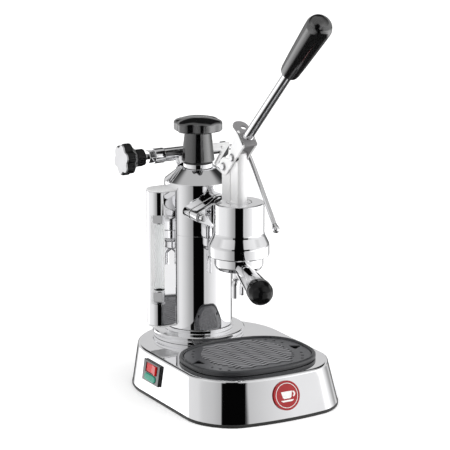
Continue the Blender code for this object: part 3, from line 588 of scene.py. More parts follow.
def make_badge():
    place = wall_frame("badge", BADGE_HEIGHT, False)
    rim = [(17.0, 2.3, 0.6), (17.0, 0.4), (15.2, 0.4), (15.2, 2.3, 0.4)]
    stand_in("badge_rim", revolved("badge_rim", rim, place), "badge", ENAMEL)
    face = [(0, 1.9), (15.3, 1.9, 0.2), (15.3, 0.4), (0, 0.4)]
    face_mesh = revolved("badge_face", face, place)
    finish_piece("badge_face", face_mesh, ENAMEL, "machine")
    ring = [(14.4, 2.15, 0.15), (14.4, 1.8), (13.7, 1.8), (13.7, 2.15, 0.15)]
    ring = revolved("ring", ring, place)
    bowl = [(-7.2, 4.6, 0.5), (-5.2, -3.6, 2.6), (5.2, -3.6, 2.6), (7.2, 4.6, 0.5)]
    lift = place @ Matrix.Translation((0, 0, 1.95))
    cup = plate("cup", [fillet(bowl, closed=True)], 0.5, lift, 0.12)
    saucer = [(-9.0, -5.2, 0.4), (-6.0, -7.2, 1.0), (6.0, -7.2, 1.0), (9.0, -5.2, 0.4)]
    dish = plate("dish", [fillet(saucer, closed=True)], 0.5, lift, 0.12)
    handle = arc((7.6, 1.0), 3.4, -80, 80, 12) + arc((7.0, 1.0), 2.0, 75, -75, 12)
    ear = plate("ear", [handle], 0.5, lift, 0.12)
    emblem = merged("emblem", ring, cup, dish, ear)
    finish_piece("badge_emblem", emblem, WHITE, "machine")


def pill(half_length, half_height, middle):
    left = arc((half_height - half_length, middle), half_height, 90, 270, 16)
    right = arc((half_length - half_height, middle), half_height, 270, 450, 16)
    return left + right


def make_switch():
    place = wall_frame("switch_housing", SWITCH_HEIGHT, True)
    body = box_mesh("housing", (-20, -12.5, 0.2), (20, 12.5, 2.8), place, 0.8)
    deep = box_mesh("deep", (-17.6, -10.2, -14), (17.6, 10.2, 1.0), place)
    pocket = box_mesh("pocket", (-13.7, -1.4, -9), (13.7, 10.0, 5), place)
    set_in = place @ Matrix.Translation((0, 0, 0.9))
    lamp = plate("lamp", [pill(13.3, 4.4, -6.4)], 7, set_in, 0.01)
    body = booleaned("housing", body, "UNION", deep)
    body = booleaned("housing", body, "DIFFERENCE", pocket, lamp)
    stand_in("switch_frame", body, "switch_housing", BAKELITE)

    set_in = place @ Matrix.Translation((0, 0, 1.0))
    lens = plate("lens", [pill(13.0, 4.1, -6.4)], 6.4, set_in, 1.2)
    stand_in("pilot_light", lens, "pilot_lens", GREEN)

    profile = [(-12.8, -1.2), (-8, -5), (8, -5), (12.8, -1.2)]
    profile += [(12.8, 3.4, 0.6), (0, 2.2, 4.0), (-12.8, 3.4, 0.6)]
    middle, lean = Vector((0, -1.0)), Matrix.Rotation(math.radians(6), 2)
    leaned = [middle + lean @ (Vector(point) - middle) for point in fillet(profile, closed=True)]
    section = place @ axes((0, 4.3, 0), (1, 0, 0), (0, 0, 1))
    rocker = plate("rocker", [leaned], 10.8, section, 0.5)
    stand_in("rocker_key", rocker, "switch_rocker", RED)


# ---------------------------------------------------------------- boiler


def make_boiler():
    up = SHELL_TOP + 0.25
    ring_top = 60.5
    ring = [
        (41.4, top("boiler_ring"), 0.5),
        (41.4, ring_top + 0.3, 0.6),
        (53.9, ring_top, 0.9),
        (55.0, ring_top - 1.0, 0.6),
        (55.0, 56.5, 0.5),
        (53.3, 56.1, 0.3),
        (53.3, 55.3, 0.3),
        (54.5, 54.9, 0.5),
        (54.5, up, 0.3),
        (38.3, up),
        (38.3, top("boiler_ring")),
    ]
    stand_in("boiler_foot", revolved("ring", ring, steps=FINE), "boiler_ring")

    seam = 180.0
    crown = top("boiler_shell")
    shell = [
        (0, crown),
        (22.6, crown, 1.0),
        (40.0, 241.0, 1.6),
        (40.0, seam + 0.45),
        (39.72, seam + 0.2),
        (39.72, seam - 0.2),
        (40.0, seam - 0.45),
        (40.0, low("boiler_shell"), 0.4),
        (0, low("boiler_shell")),
    ]
    stand_in("boiler_body", revolved("shell", shell, steps=FINE), "boiler_shell")

    lower, upper = low("filler_neck"), top("filler_neck")
    neck = [(13.7, upper), (17.6, upper, 0.7), (17.6, lower, 0.7), (13.7, lower)]
    stand_in("neck_ring", revolved("neck", neck), "filler_neck")


CAP_RADIUS = 28.8


def make_cap():
    lower, upper = low("cap_knob"), top("cap_knob")
    disc_low, disc_high = upper - 16.6, upper - 4.5
    rings = [lobed(17.6, lower, 0), lobed(18.9, lower + 0.2, 0), lobed(19.4, lower + 0.9, 0)]
    rings += [lobed(19.45, lower + 1.8, 0), lobed(15.9, disc_low - 3.5, 0)]
    rings += [lobed(15.75, disc_low - 1.5, 0), lobed(16.2, disc_low - 0.4, 0)]
    rings.append(lobed(17.0, disc_low, 0))
    under = ((2.4, 0.0, 0.9), (1.2, 0.3, 1.2), (0.4, 1.0, 1.35), (0.0, 2.2, 1.4))
    for inset, rise, depth in under:
        rings.append(lobed(CAP_RADIUS - inset, disc_low + rise, depth))
    over = ((0.0, 3.0, 1.4), (0.2, 1.8, 1.4), (0.8, 0.8, 1.3), (1.8, 0.15, 1.1))
    for inset, drop, depth in over:
        rings.append(lobed(CAP_RADIUS - inset, disc_high - drop, depth))
    crown = ((24.5, 3.6, 0.8), (20, 2.45, 0.4), (15, 1.35, 0.1), (9, 0.5, 0), (4, 0.1, 0))
    for radius, drop, depth in crown:
        rings.append(lobed(radius, upper - drop, depth))
    stand_in("cap_grip", lofted("cap", rings), "cap_knob", BAKELITE)


GAUGE = centre("gauge_tube")
GUARD_LOW, GUARD_TOP = low("gauge_guard"), top("gauge_guard")
GUARD_RADIUS = 14.7
GUARD_REACH = -38.6  # how far the guard runs back to the boiler
WINDOW_TURN = -29.0  # degrees from straight ahead


def guard_plan(radius, reach, count=40):
    return arc((GAUGE.x, 0), radius, 90, 270, count) + [(reach, -radius), (reach, radius)]


def make_gauge():
    outer = guard_plan(GUARD_RADIUS, GUARD_REACH)
    inner = guard_plan(GUARD_RADIUS - 1.2, GUARD_REACH)[::-1]
    section = outer[:-2] + [outer[-2], inner[1]] + inner[2:] + [inner[0], outer[-1]]
    place = Matrix.Translation((0, 0, (GUARD_LOW + GUARD_TOP) / 2))
    guard = plate("guard", [section], GUARD_TOP - GUARD_LOW, place, 0.25)
    facing = Matrix.Translation((GAUGE.x, 0, 0))
    facing = facing @ Matrix.Rotation(math.radians(WINDOW_TURN), 4, "Z")
    window = box_mesh("window", (-9.5, -30, 97.5), (6.7, -2, 205.5), facing)
    guard = booleaned("guard", guard, "DIFFERENCE", window)
    stand_in("gauge_cover", guard, "gauge_guard")

    for name in ("top", "bottom"):
        node = f"gauge_{name}_plate"
        place = Matrix.Translation((0, 0, centre(node).z))
        lid = plate(node, [guard_plan(GUARD_RADIUS, -36.5)], 1.5, place, 0.4)
        stand_in(f"gauge_{name}_cap", lid, node, BRIGHT)
    outer, inner = 13.2, 12.9
    liner = [(GAUGE.x + outer, -11.9), (GAUGE.x + outer, 11.9)]
    liner += arc((GAUGE.x, 0), outer, 60, 185, 24) + arc((GAUGE.x, 0), inner, 185, 60, 24)
    liner += [(GAUGE.x + inner, 11.4), (GAUGE.x + inner, -11.9)]
    place = Matrix.Translation((0, 0, (GUARD_LOW + GUARD_TOP) / 2))
    back = plate("liner", [liner], GUARD_TOP - GUARD_LOW - 2, place, 0.01)
    # The liner's glow is painted light inside the gauge guard.
    finish_piece("gauge_glowing_liner", back, GLOWING_LINER, "machine")

    lower, upper = low("gauge_tube"), top("gauge_tube")
    glass = [(4.3, upper, 0.2), (6.0, upper, 0.2), (6.0, lower, 0.2), (4.3, lower, 0.2)]
    place = Matrix.Translation((GAUGE.x, 0, 0))
    glass = revolved("glass", glass, place)
    sight = stand_in("gauge_glass_tube", glass, "gauge_tube", GLASS)
    sight.visible_shadow = False


def make_gauge_fittings():
    place = Matrix.Translation((GAUGE.x, 0, 0))
    for name in ("upper", "lower"):
        node = f"gauge_nut_{name}"
        bottom, roof = low(node), top(node)
        face = Matrix.Translation((GAUGE.x, 0, (bottom + roof) / 2))
        outlines = [hexagon(18.6, 20), hole((0, 0), 6.15)]
        nut = plate("nut", outlines, roof - bottom, face, 0.5)
        collar = roof if name == "lower" else bottom
        step = 1.2 if name == "lower" else -1.2
        heights = sorted((collar - step * 0.2, collar + step))
        ring = [(6.1, heights[1]), (8.2, heights[1], 0.5), (8.2, heights[0]), (6.1, heights[0])]
        nut = merged("nut", nut, revolved("nut_collar", ring, place, SMALL))
        stand_in(f"gauge_{name}_nut", nut, node)
        node = f"gauge_fitting_{name}"
        bottom, roof = low(node), top(node)
        body = [(0, roof), (8.0, roof, 1.0), (8.0, bottom, 1.0), (0, bottom)]
        middle = (bottom + roof) / 2
        arm = along((GAUGE.x, 0, middle), (1, 0, 0))
        stem = revolved("arm", [(0, 14), (5.5, 14), (5.5, 0), (0, 0)], arm, SMALL)
        fitting = merged("fitting", revolved("body", body, place, SMALL), stem)
        stand_in(f"gauge_{name}_fitting", fitting, node)


# ---------------------------------------------------------------- group

GROUP = centre("cylinder_sleeve")
GROUP.z = 0
BELL = Matrix.Translation(GROUP)
FLANGE_Z = centre("boiler_flange").z
STUD_X = centre("flange_nut_right").x
FULCRUM = pivot("lever_hinge")
PISTON_PIN = centre("piston_pin")
BELL_LOW = low("group_body")
BELL_TOP = 233.2
FLANGE_FRONT = BOX["flange_gasket"][0].y - 17.3
ROD_FLAT = 6.3


def flange_plan(inset=0.0):
    eye, waist = 7.0 - inset, 20.0 - inset
    left = arc((-STUD_X, 0), eye, 115, 245, 24)
    under = arc((0, 0), waist, 250, 290, 14)
    right = arc((STUD_X, 0), eye, -65, 65, 24)
    over = arc((0, 0), waist, 70, 110, 14)
    return left + under + right + over


def upright(y):
    return axes((0, y, FLANGE_Z), (1, 0, 0), (0, 0, 1))


def make_group():
    bell = [
        (24.8, BELL_TOP - 6),
        (14.8, BELL_TOP - 6),
        (14.8, BELL_TOP, 0.8),
        (29.4, BELL_TOP, 1.6),
        (29.4, 196.5, 12.0),
        (35.3, 184.0, 10.0),
        (35.3, BELL_LOW, 3.4),
        (31.2, BELL_LOW, 0.6),
        (31.2, 180),
        (24.8, 180),
    ]
    stand_in("group_bell", revolved("bell", bell, BELL, FINE), "group_body")

    neck_place = along((0, GROUP.y, 208), (0, 1, 0))
    neck = [(0, 42), (17.5, 42, 4), (15.5, 36, 3), (15.5, 20), (0, 20)]
    neck_mesh = revolved("neck", neck, neck_place)
    front = plate("flange", [flange_plan()], 17.0, upright(FLANGE_FRONT + 8.5), 1.0)
    casting = merged("casting", neck_mesh, front)
    finish_piece("group_flange", casting, CHROME, "machine")

    outline = [(-87.3, 226.5), (-68.7, 226.5)] + arc((FULCRUM.y, FULCRUM.z), 9.3, 0, 180, 24)
    eye = hole((FULCRUM.y, FULCRUM.z), 3.2)
    side = axes((0, 0, 0), (0, 1, 0), (0, 0, 1))
    ear = plate("ear", [outline, eye], 2 * ROD_FLAT, side, 0.7)
    finish_piece("fulcrum_ear", ear, BRIGHT, "machine")

    back = plate("back_flange", [flange_plan()], 15.0, upright(-43.5), 0.9)
    place = along((0, -43, FLANGE_Z), (0, 1, 0))
    boss = revolved("boss", [(0, 8), (18, 8), (18, 0, 1), (0, 0)], place)
    stand_in("boiler_outlet", merged("saddle", back, boss), "boiler_flange")
    gasket = plate("gasket", [flange_plan(0.3)], 1.0, upright(-51.8), 0.1)
    stand_in("outlet_gasket", gasket, "flange_gasket", RUBBER)

    for name, x in (("left", -STUD_X), ("right", STUD_X)):
        place = along((x, FLANGE_FRONT, FLANGE_Z), (0, -1, 0))
        washer = [(0, 1.8), (5.6, 1.8, 0.4), (5.6, 0.2, 0.3), (0, 0.2)]
        washer = revolved("washer", washer, place, SMALL)
        dome = [(0, 7.4), (3.6, 7.2, 1.0), (4.6, 5.8, 0.6), (4.6, 1.5), (0, 1.5)]
        cap = revolved("dome", dome, place, SMALL)
        shank = revolved("shank", [(0, 1), (3.0, 1), (3.0, -30.0), (0, -30.0)], place, SMALL)
        nut = merged("stud", washer, cap, shank)
        stand_in(f"{name}_stud_nut", nut, f"flange_nut_{name}")

    lower, upper = low("gland_bush"), top("gland_bush")
    bush = [(10.6, upper, 0.3), (14.4, upper, 0.8), (14.4, lower), (10.6, lower)]
    stand_in("gland_ring", revolved("bush", bush, BELL), "gland_bush")


def make_piston_rod():
    lower, upper = low("piston_rod"), top("piston_rod")
    profile = [(0, upper), (10.3, upper, 1.0), (10.3, lower), (0, lower)]
    rod = revolved("rod", profile, BELL)
    side = axes((0, GROUP.y, PISTON_PIN.z), (0, 1, 0), (0, 0, 1))
    flats = []
    for near, far in ((-20, -ROD_FLAT), (ROD_FLAT, 20)):
        flats.append(box_mesh("flat", (near, GROUP.y - 20, 234), (far, GROUP.y + 20, 310)))
    slot = arc((-5.2, 0), 3.8, 90, 270, 16) + arc((1.5, 0), 3.8, 270, 450, 16)
    flats.append(plate("slot", [slot], 40, side, 0.01))
    rod = booleaned("rod", rod, "DIFFERENCE", *flats)
    stand_in("polished_rod", rod, "piston_rod", BRIGHT)


# ---------------------------------------------------------------- lever

LEVER_RISE = 44.0
LEVER = Matrix.Translation(FULCRUM) @ Matrix.Rotation(math.radians(90 - LEVER_RISE), 4, "X")
ROD_OFFSET = 1.8
WEB_AT, FORK_PLATE, FORK_HALF = 54.6, 2.4, 9.2
PISTON_AT = LEVER.inverted() @ PISTON_PIN
TAB_LEAN = -18.2


def make_fork():
    outline = [(-9.4, WEB_AT + FORK_PLATE, 0.8), (-9.2, 24, 20)]
    outline += arc((0, 0), 9.8, 182, 358, 28)
    outline += [(8.6, 7, 3), (1.0, 14.5, 3), (0.6, 19.5, 3), (7.2, 31, 12), (11.8, 48.8, 4)]
    outline.append((12.2, WEB_AT + FORK_PLATE, 0.8))
    holes = [hole(at, 3.2) for at in ((0, 0), (PISTON_AT.y, PISTON_AT.z))]
    middle = FORK_HALF - FORK_PLATE / 2
    arms = []
    for x in (-middle, middle):
        place = LEVER @ axes((x, 0, 0), (0, 1, 0), (0, 0, 1))
        arms.append(plate("arm", [fillet(outline, closed=True), *holes], FORK_PLATE, place, 0.45))
    stand_in("folded_fork", merged("fork", *arms), "lever_fork", BRIGHT)
    # The web and its tab are the same folded steel as the arms, drawn darker: painted shade.
    web = [(-FORK_HALF, -9.4, 1.5), (FORK_HALF, -9.4, 1.5), (FORK_HALF, 8.6), (-FORK_HALF, 8.6)]
    place = LEVER @ Matrix.Translation((0, 0, WEB_AT + FORK_PLATE / 2))
    web_mesh = plate("web", [fillet(web, closed=True)], FORK_PLATE, place, 0.45)
    # The tab above the web leans back.
    tab = [(-FORK_HALF, -1.5), (FORK_HALF, -1.5)] + arc((0, 12.1), FORK_HALF, 0, 180, 32)
    lean = Matrix.Rotation(math.radians(TAB_LEAN), 4, "X")
    place = place @ Matrix.Translation((0, 8, 0)) @ lean
    tab_mesh = plate("tab", [tab, hole((2.1, 9.0), 3.2)], FORK_PLATE, place, 0.45)
    finish_piece("fork_web", merged("web", web_mesh, tab_mesh), SHADED_STEEL, "lever")
    # The inner faces get a thin darker sheet: painted shade between the arms.
    place = LEVER @ axes((FORK_HALF - FORK_PLATE - 0.15, 0, 0), (0, 1, 0), (0, 0, 1))
    inner_shade = [(-8.6, 54), (-8.6, 12), (-1, 13), (0, 19.5), (6.4, 31), (11, 49), (11.4, 54)]
    inner_shade = plate("inner_shade", [inner_shade], 0.2, place, 0.02)
    finish_piece("fork_inner_face", inner_shade, SHADED_STEEL, "lever")


def make_pins():
    for name, at in (("fulcrum", Vector()), ("piston", PISTON_AT)):
        place = LEVER @ along(at, (1, 0, 0))
        parts = [revolved("shank", [(0, 10), (3.0, 10), (3.0, -10), (0, -10)], place, SMALL)]
        for side in (-1, 1):
            head = [(0, side * 11.4), (3.6, side * 11.2, 0.8), (4.5, side * 10.2, 0.5)]
            head += [(4.5, side * 9.4, 0.2), (0, side * 9.4)]
            parts.append(revolved("head", head, place, SMALL))
            clip = [(4.5, side * 9.9), (5.4, side * 9.9, 0.2)]
            clip += [(5.4, side * 9.35, 0.2), (4.5, side * 9.35)]
            parts.append(revolved("clip", clip, place, SMALL))
        stand_in(f"{name}_cross_pin", merged("pin", *parts), f"{name}_pin", STEEL)


def make_lever_bar():
    base = WEB_AT + FORK_PLATE + 0.1
    place = LEVER @ Matrix.Translation((0, ROD_OFFSET, 0))
    rod = [(0, 207), (5.6, 207), (5.6, base + 4)]
    rod += [(6.2, base + 3, 0.5), (6.2, base, 0.3), (0, base)]
    stand_in("lever_bar", revolved("rod", rod, place), "lever_rod")
    grip = [
        (0, 281.8),
        (6.5, 280.6, 6),
        (12.6, 277.2, 7),
        (14.9, 270.5, 8),
        (14.5, 260, 20),
        (12.2, 209, 60),
        (11.0, 190),
        (10.3, 185.6, 1.6),
        (8.6, 184, 0.8),
        (5.6, 184.2, 0.3),
        (5.6, 208),
        (0, 208),
    ]
    stand_in("lever_handle", revolved("grip", grip, place), "lever_grip", BAKELITE)


# ---------------------------------------------------------------- portafilter

HANDLE_TURN = -17.8
HANDLE = BELL @ Matrix.Rotation(math.radians(HANDLE_TURN), 4, "Z")
HANDLE_Z = 157.8
SPOUT_TURN = math.radians(48)


def make_portafilter():
    rim = top("portafilter_body")
    cup = [
        (24.9, rim),
        (28.3, rim, 0.6),
        (28.4, 159.5, 5),
        (25.6, 154.3, 3),
        (21, 153.6, 1),
        (9.4, 153.5, 1.0),
        (9.2, 151.0, 0.6),
        (3.0, 151.0),
        (3.0, 158.0),
        (24.9, 158.8),
    ]
    body = revolved("cup", cup, HANDLE, FINE)
    place = HANDLE @ along((0, 0, HANDLE_Z), (0, -1, 0))
    neck = [(0, 108), (13.3, 108, 0.8), (13.2, 103), (11.6, 64), (9.8, 34), (9.5, 26), (0, 26)]
    lugs = []
    for near, far in ((-29.8, -27), (27, 29.8)):
        lugs.append(box_mesh("lug", (near, -6, 170.6), (far, 6, 173.4), HANDLE, 0.4))
    body = merged("holder", body, revolved("neck", neck, place), *lugs)
    stand_in("filter_holder", body, "portafilter_body")

    grip = [
        (0, 134),
        (5, 133.2, 5),
        (10.6, 129.4, 6),
        (14.2, 121.5, 7),
        (14.2, 112, 6),
        (13.5, 108.3, 0.6),
        (0, 108.3),
    ]
    stand_in("holder_grip", revolved("grip", grip, place), "portafilter_grip", JET)

    hub = [(0, 150.7), (8.0, 150.7, 0.8), (8.0, 141, 2.5), (0, 139.6)]
    parts = [revolved("hub", hub, HANDLE)]
    for reach in (-8.2, 8.2):
        x, y = reach * math.cos(SPOUT_TURN), reach * math.sin(SPOUT_TURN)
        route = [(0, 0, 144), (x, y, 138), (x, y, 120.7)]
        parts.append(tube("leg", bent(route, 4.8), 4.5, HANDLE))
    stand_in("twin_spout", merged("spouts", *parts), "spout")


# ---------------------------------------------------------------- steam

VALVE = pivot("wand_swivel")


def valve_nut(name, node, turn=0.0):
    near, far = BOX[node][0].x, BOX[node][1].x
    place = axes(((near + far) / 2, VALVE.y, VALVE.z), (0, 1, 0), (0, 0, 1))
    stand_in(name, plate("nut", [hexagon(14.0, turn)], far - near, place, 0.6), node)


def make_valve():
    body = [
        (0, -0.3),
        (6.2, -0.3, 0.4),
        (6.2, -38, 1),
        (8.0, -40, 1),
        (8.0, -77, 0.3),
        (9.0, -77.6, 0.4),
        (9.0, -90.4, 0.6),
        (0, -90.4),
    ]
    place = along(VALVE, (1, 0, 0))
    valve = revolved("valve", body, place)
    foot = Vector((-4, 27.0, 251.7))
    up = Vector((0, 14.0, 17.0)).normalized()
    boss = [(0, 15.3), (10.2, 15.3, 2), (10.2, 0.3, 0.5), (0, 0.3)]
    boss_mesh = revolved("boss", boss, along(foot, up))
    stand_in("steam_tap_body", merged("valve", valve, boss_mesh), "steam_valve_body")

    valve_nut("gland_nut", "packing_nut")


def make_tap():
    hub = along((0, VALVE.y, VALVE.z), (-1, 0, 0))
    steps = (
        (8.6, 55.5, 0),
        (9.8, 55.8, 0.3),
        (10.6, 57.5, 0.5),
        (10.7, 65.5, 0.5),
        (11.3, 67.6, 0.5),
        (13.2, 69.6, 0.6),
        (14.8, 71.2, 0.8),
        (16.4, 72.6, 1.2),
        (18.4, 73.5, 1.6),
        (19.2, 74.3, 1.8),
        (19.5, 75.6, 1.8),
        (19.5, 81.6, 1.8),
        (19.2, 82.8, 1.8),
        (18.5, 83.4, 1.8),
    )
    mesh = lofted("knob", [lobed(radius, height, depth) for radius, height, depth in steps], hub)
    knob = stand_in("tap_knob", mesh, "steam_knob", JET)
    steps = ((18.1, 83.5), (18.1, 84.5), (17.7, 84.9), (17.2, 85.0))
    mesh = lofted("face", [lobed(radius, height, 1.7) for radius, height in steps], hub)
    disc = stand_in("tap_knob_face", mesh, "knob_face", KNOB_METAL)
    # The fork's polished cheek would otherwise mirror the black knob.
    knob.visible_glossy = False
    disc.visible_glossy = False


def make_bracket():
    corners = [(30, 275.6, 0.8), (54.4, 275.6, 0.6), (52.8, 260.5, 0.6), (36.5, 248.5, 0.6)]
    corners += [(34.4, 251, 0.6), (44.2, 266.5, 2), (30, 266.5, 0.8)]
    front = axes((0, 22, 0), (1, 0, 0), (0, 0, 1))
    bracket = plate("bracket", [fillet(corners, closed=True)], 4.0, front, 0.5)
    valve = along((0, VALVE.y, VALVE.z), (1, 0, 0))
    clear = revolved("clear", [(0, 70), (6.6, 70), (6.6, 20), (0, 20)], valve)
    foot = box_mesh("foot", (31, 23, 267), (43, 27.6, 274.5))
    foot = booleaned("foot", foot, "DIFFERENCE", clear)
    pin = [(0, 1.2), (1.6, 1.1, 0.4), (1.9, -1), (0, -1)]
    pin = revolved("pin", pin, along((44, 20, 271), (0, -1, 0)), SMALL)
    bracket = merged("bracket", bracket, foot, pin)
    stand_in("tap_bracket", bracket, "valve_bracket", BRIGHT)
    # A dark sheet laid on the bracket's front face: painted reflection of the dark screen in that
    # face.
    inset = fillet([(52.9, 271.4), (51.8, 261.2), (38.4, 251.3)], closed=True)
    shade = plate("shade", [inset], 0.3, axes((0, 19.95, 0), (1, 0, 0), (0, 0, 1)), 0.05)
    finish_piece("bracket_painted_reflection", shade, PLASTIC, "machine")


def make_wand():
    valve_nut("swivel_nut", "wand_nut", 15)
    bend = Vector((85, 16, 240.5))
    tip = Vector((84.5, -34, 182))
    route = bent([(VALVE.x + 0.6, VALVE.y, VALVE.z), (82, VALVE.y, VALVE.z), bend, tip], 14)
    stand_in("steam_pipe", tube("wand", route, 3.2), "steam_wand")
    down = (tip - bend).normalized()
    ball = [(0, 11), (2.4, 10.7, 1.2), (4.4, 8.4, 2), (4.6, 5.4, 2)]
    ball += [(3.6, 2.2, 2), (3.1, 0.2), (0, 0.2)]
    stand_in("pipe_tip", revolved("ball", ball, along(tip, down), SMALL), "wand_tip")


# ---------------------------------------------------------------- CAD nodes that stay

KEPT = {
    "chrome_plate": CHROME,
    "brass": BRASS,
    "steel": STEEL,
    "bakelite": BAKELITE,
    "black_plastic": PLASTIC,
    "trim_rubber": RUBBER,
    "seal_rubber": RUBBER,
    "glass": GLASS,
    "knob_metal": KNOB_METAL,
    "red_plastic": RED,
    "green_lens": GREEN,
    "red_enamel": ENAMEL,
}


def dress_kept_nodes():
    for name, kind in SLOTS.items():
        for slot in frame["nodes"][name].material_slots:
            slot.material = KEPT[kind]


# ---------------------------------------------------------------- studio

CAMERA_BEARING = math.radians(-29.1)
ASIDE = Vector((math.cos(CAMERA_BEARING), math.sin(CAMERA_BEARING), 0))
TOWARD = Vector((math.sin(CAMERA_BEARING), -math.cos(CAMERA_BEARING), 0))
CAMERA_PITCH = math.radians(14.09)
CAMERA_REACH = 2758.9
CAMERA_HEIGHT = 876.7
CAMERA_ASIDE = 31.75
CAMERA_FOCAL = 191.55

BLACK = 0.0015  # a dark screen stands behind the camera

# Brightness of the studio by bearing from the camera, for reflections that look down, level,
# up and higher up.
BELOW = (
    (-180, 0.05), (-160, 0.1), (-150, 0.9), (-140, 1.7), (-116, 1.7), (-105, 0.95), (-87, 0.88),
    (-60, 0.82), (-45, 0.64), (-30, 0.44), (-18, 0.34), (-16, BLACK), (19, BLACK), (21, 0.6),
    (30, 0.62), (45, 0.8), (60, 0.95), (75, 1.4), (100, 2.0), (135, 1.5), (150, 0.7), (160, 0.1),
    (180, 0.05),
)
LEVEL = (
    (-180, 0.05), (-160, 0.3), (-140, 0.72), (-120, 0.76), (-100, 0.78), (-78, 0.74),
    (-60, 0.7), (-45, 0.6), (-30, 0.42), (-18, 0.34), (-16, BLACK), (20, BLACK), (22, 0.5),
    (37, 0.75), (55, 1.4), (80, 2.0), (95, 1.9), (108, 1.2), (135, 0.4), (160, 0.1), (180, 0.05),
)
ABOVE = (
    (-180, 0.62), (-122, 0.7), (-80, 0.68), (-45, 0.55), (-28, 0.44), (-26, BLACK),
    (40.5, BLACK), (42.2, 0.56), (52, 0.7), (62, 0.84), (90, 0.88), (130, 0.78), (180, 0.62),
)
HIGHER = (
    (-180, 0.02), (-135, 0.03), (-100, 0.5), (-70, 0.85), (-45, 0.7), (-20, 0.5), (-17, BLACK),
    (19, BLACK), (22, 0.6), (45, 0.8), (70, 0.9), (100, 0.5), (135, 0.03), (180, 0.02),
)
# Each zone fades in between two heights of the reflected direction, over the ground's tone.
ZONES = (
    (-0.72, -0.5, BELOW),
    (-0.19, -0.12, LEVEL),
    (0.03, 0.1, ABOVE),
    (0.3, 0.42, HIGHER),
)
CEILING_FADE = (0.72, 0.88)
GROUND_TONE, CEILING_TONE = 0.03, 0.48

# Each lamp is (name, where it stands, spread in degrees, strength).
LAMPS = (
    ("overhead", (0.0, -0.2, 1.0), 110, 1.75),
    ("left_fill", (-1.0, -0.6, 1.0), 70, 0.4),
    ("right_fill", (1.0, -0.5, 1.0), 70, 0.4),
)
FLOOR_GLOW = 0.14  # keeps the floor white beyond the soft shadow


def ramp(tree, stops, value):
    node = new_node(tree, "ShaderNodeValToRGB")
    elements = node.color_ramp.elements
    while len(elements) < len(stops):
        elements.new(0.5)
    for element, (bearing, level) in zip(elements, stops):
        element.position = (bearing + 180) / 360
        element.color = (level, level, level * 1.005, 1)
    tree.links.new(value, node.inputs["Fac"])
    return node.outputs["Color"]


def plain(tree, tone):
    node = new_node(tree, "ShaderNodeRGB")
    node.outputs[0].default_value = (tone, tone, tone, 1)
    return node.outputs[0]


def mixed(tree, share, first, second):
    mix = new_node(tree, "ShaderNodeMix", data_type="RGBA")
    tree.links.new(share, mix.inputs["Factor"])
    tree.links.new(first, mix.inputs["A"])
    tree.links.new(second, mix.inputs["B"])
    return mix.outputs["Result"]


def faded(tree, value, start, end, first, second):
    """The first colour where the value is under start, and the second where it is over end."""
    mapped = new_node(tree, "ShaderNodeMapRange", interpolation_type="SMOOTHSTEP")
    mapped.inputs["From Min"].default_value = start
    mapped.inputs["From Max"].default_value = end
    tree.links.new(value, mapped.inputs["Value"])
    return mixed(tree, mapped.outputs["Result"], first, second)


def bearing_of(tree, direction):
    """The direction's bearing from the camera's, from 0 at -180 degrees to 1 at 180."""
    angle = new_node(tree, "ShaderNodeMath", operation="ARCTAN2")
    for socket, axis in zip(angle.inputs, (ASIDE, TOWARD)):
        dot = new_node(tree, "ShaderNodeVectorMath", operation="DOT_PRODUCT")
        dot.inputs[1].default_value = axis
        tree.links.new(direction, dot.inputs[0])
        tree.links.new(dot.outputs["Value"], socket)
    share = new_node(tree, "ShaderNodeMapRange")
    share.inputs["From Min"].default_value = -math.pi
    share.inputs["From Max"].default_value = math.pi
    tree.links.new(angle.outputs[0], share.inputs["Value"])
    return share.outputs["Result"]


def make_world():
    scene = bpy.context.scene
    scene.view_settings.view_transform = "Standard"
    world = bpy.data.worlds.new("studio")
    scene.world = world
    world.use_nodes = True
    tree = world.node_tree
    tree.nodes.clear()
    direction = new_node(tree, "ShaderNodeTexCoord").outputs["Generated"]
    bearing = bearing_of(tree, direction)
    split = new_node(tree, "ShaderNodeSeparateXYZ")
    tree.links.new(direction, split.inputs[0])
    height = split.outputs["Z"]
    light = plain(tree, GROUND_TONE)
    for start, end, stops in ZONES:
        light = faded(tree, height, start, end, light, ramp(tree, stops, bearing))
    light = faded(tree, height, *CEILING_FADE, light, plain(tree, CEILING_TONE))
    seen = new_node(tree, "ShaderNodeLightPath").outputs["Is Camera Ray"]
    background = new_node(tree, "ShaderNodeBackground")
    backdrop = mixed(tree, seen, light, plain(tree, 1))
    tree.links.new(backdrop, background.inputs["Color"])
    output = new_node(tree, "ShaderNodeOutputWorld")
    tree.links.new(background.outputs[0], output.inputs["Surface"])


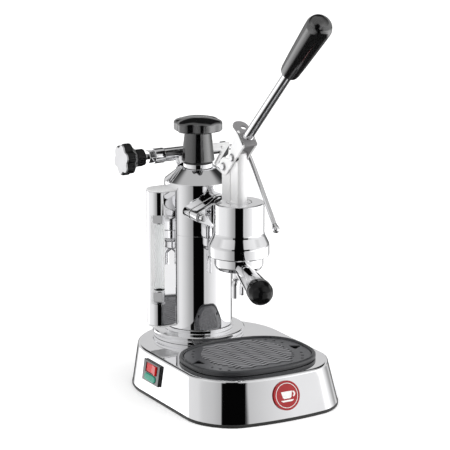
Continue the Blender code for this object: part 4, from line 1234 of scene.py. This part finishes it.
def make_floor():
    mesh = bpy.data.meshes.new("floor")
    bm = bmesh.new()
    bmesh.ops.create_circle(bm, cap_ends=True, segments=64, radius=30)
    bm.to_mesh(mesh)
    bm.free()
    floor = bpy.data.objects.new("floor", mesh)
    bpy.context.scene.collection.objects.link(floor)
    paint = bpy.data.materials.new("floor_paint")
    paint.use_nodes = True
    sockets = paint.node_tree.nodes["Principled BSDF"].inputs
    sockets["Base Color"].default_value = (0.95, 0.95, 0.95, 1)
    sockets["Roughness"].default_value = 0.9
    sockets["Specular IOR Level"].default_value = 0.0
    sockets["Emission Color"].default_value = (1, 1, 1, 1)
    sockets["Emission Strength"].default_value = FLOOR_GLOW
    mesh.materials.append(paint)
    floor.visible_glossy = False


def make_lamps():
    for name, spot, spread, power in LAMPS:
        lamp = bpy.data.lights.new(name, "SUN")
        lamp.angle = math.radians(spread)
        lamp.energy = power
        holder = bpy.data.objects.new(name, lamp)
        bpy.context.scene.collection.objects.link(holder)
        holder.location = spot
        holder.rotation_euler = (-Vector(spot)).to_track_quat("-Z", "Y").to_euler()
        holder.visible_glossy = False
        holder.visible_camera = False


def make_camera():
    spot = TOWARD * CAMERA_REACH + ASIDE * CAMERA_ASIDE + Vector((0, 0, CAMERA_HEIGHT))
    look = -TOWARD * math.cos(CAMERA_PITCH) - Vector((0, 0, math.sin(CAMERA_PITCH)))
    data = bpy.data.cameras.new("camera")
    data.lens = CAMERA_FOCAL
    data.sensor_width = 36
    data.clip_start, data.clip_end = 0.1, 100
    camera = bpy.data.objects.new("camera", data)
    bpy.context.scene.collection.objects.link(camera)
    camera.location = spot * MM
    camera.rotation_euler = look.to_track_quat("-Z", "Y").to_euler()
    bpy.context.scene.camera = camera


make_camera()
make_world()
make_floor()
make_lamps()
dress_kept_nodes()
make_base()
make_tray()
make_grille()
make_badge()
make_switch()
make_boiler()
make_cap()
make_gauge()
make_gauge_fittings()
make_group()
make_piston_rod()
make_fork()
make_pins()
make_lever_bar()
make_portafilter()
make_valve()
make_tap()
make_bracket()
make_wand()
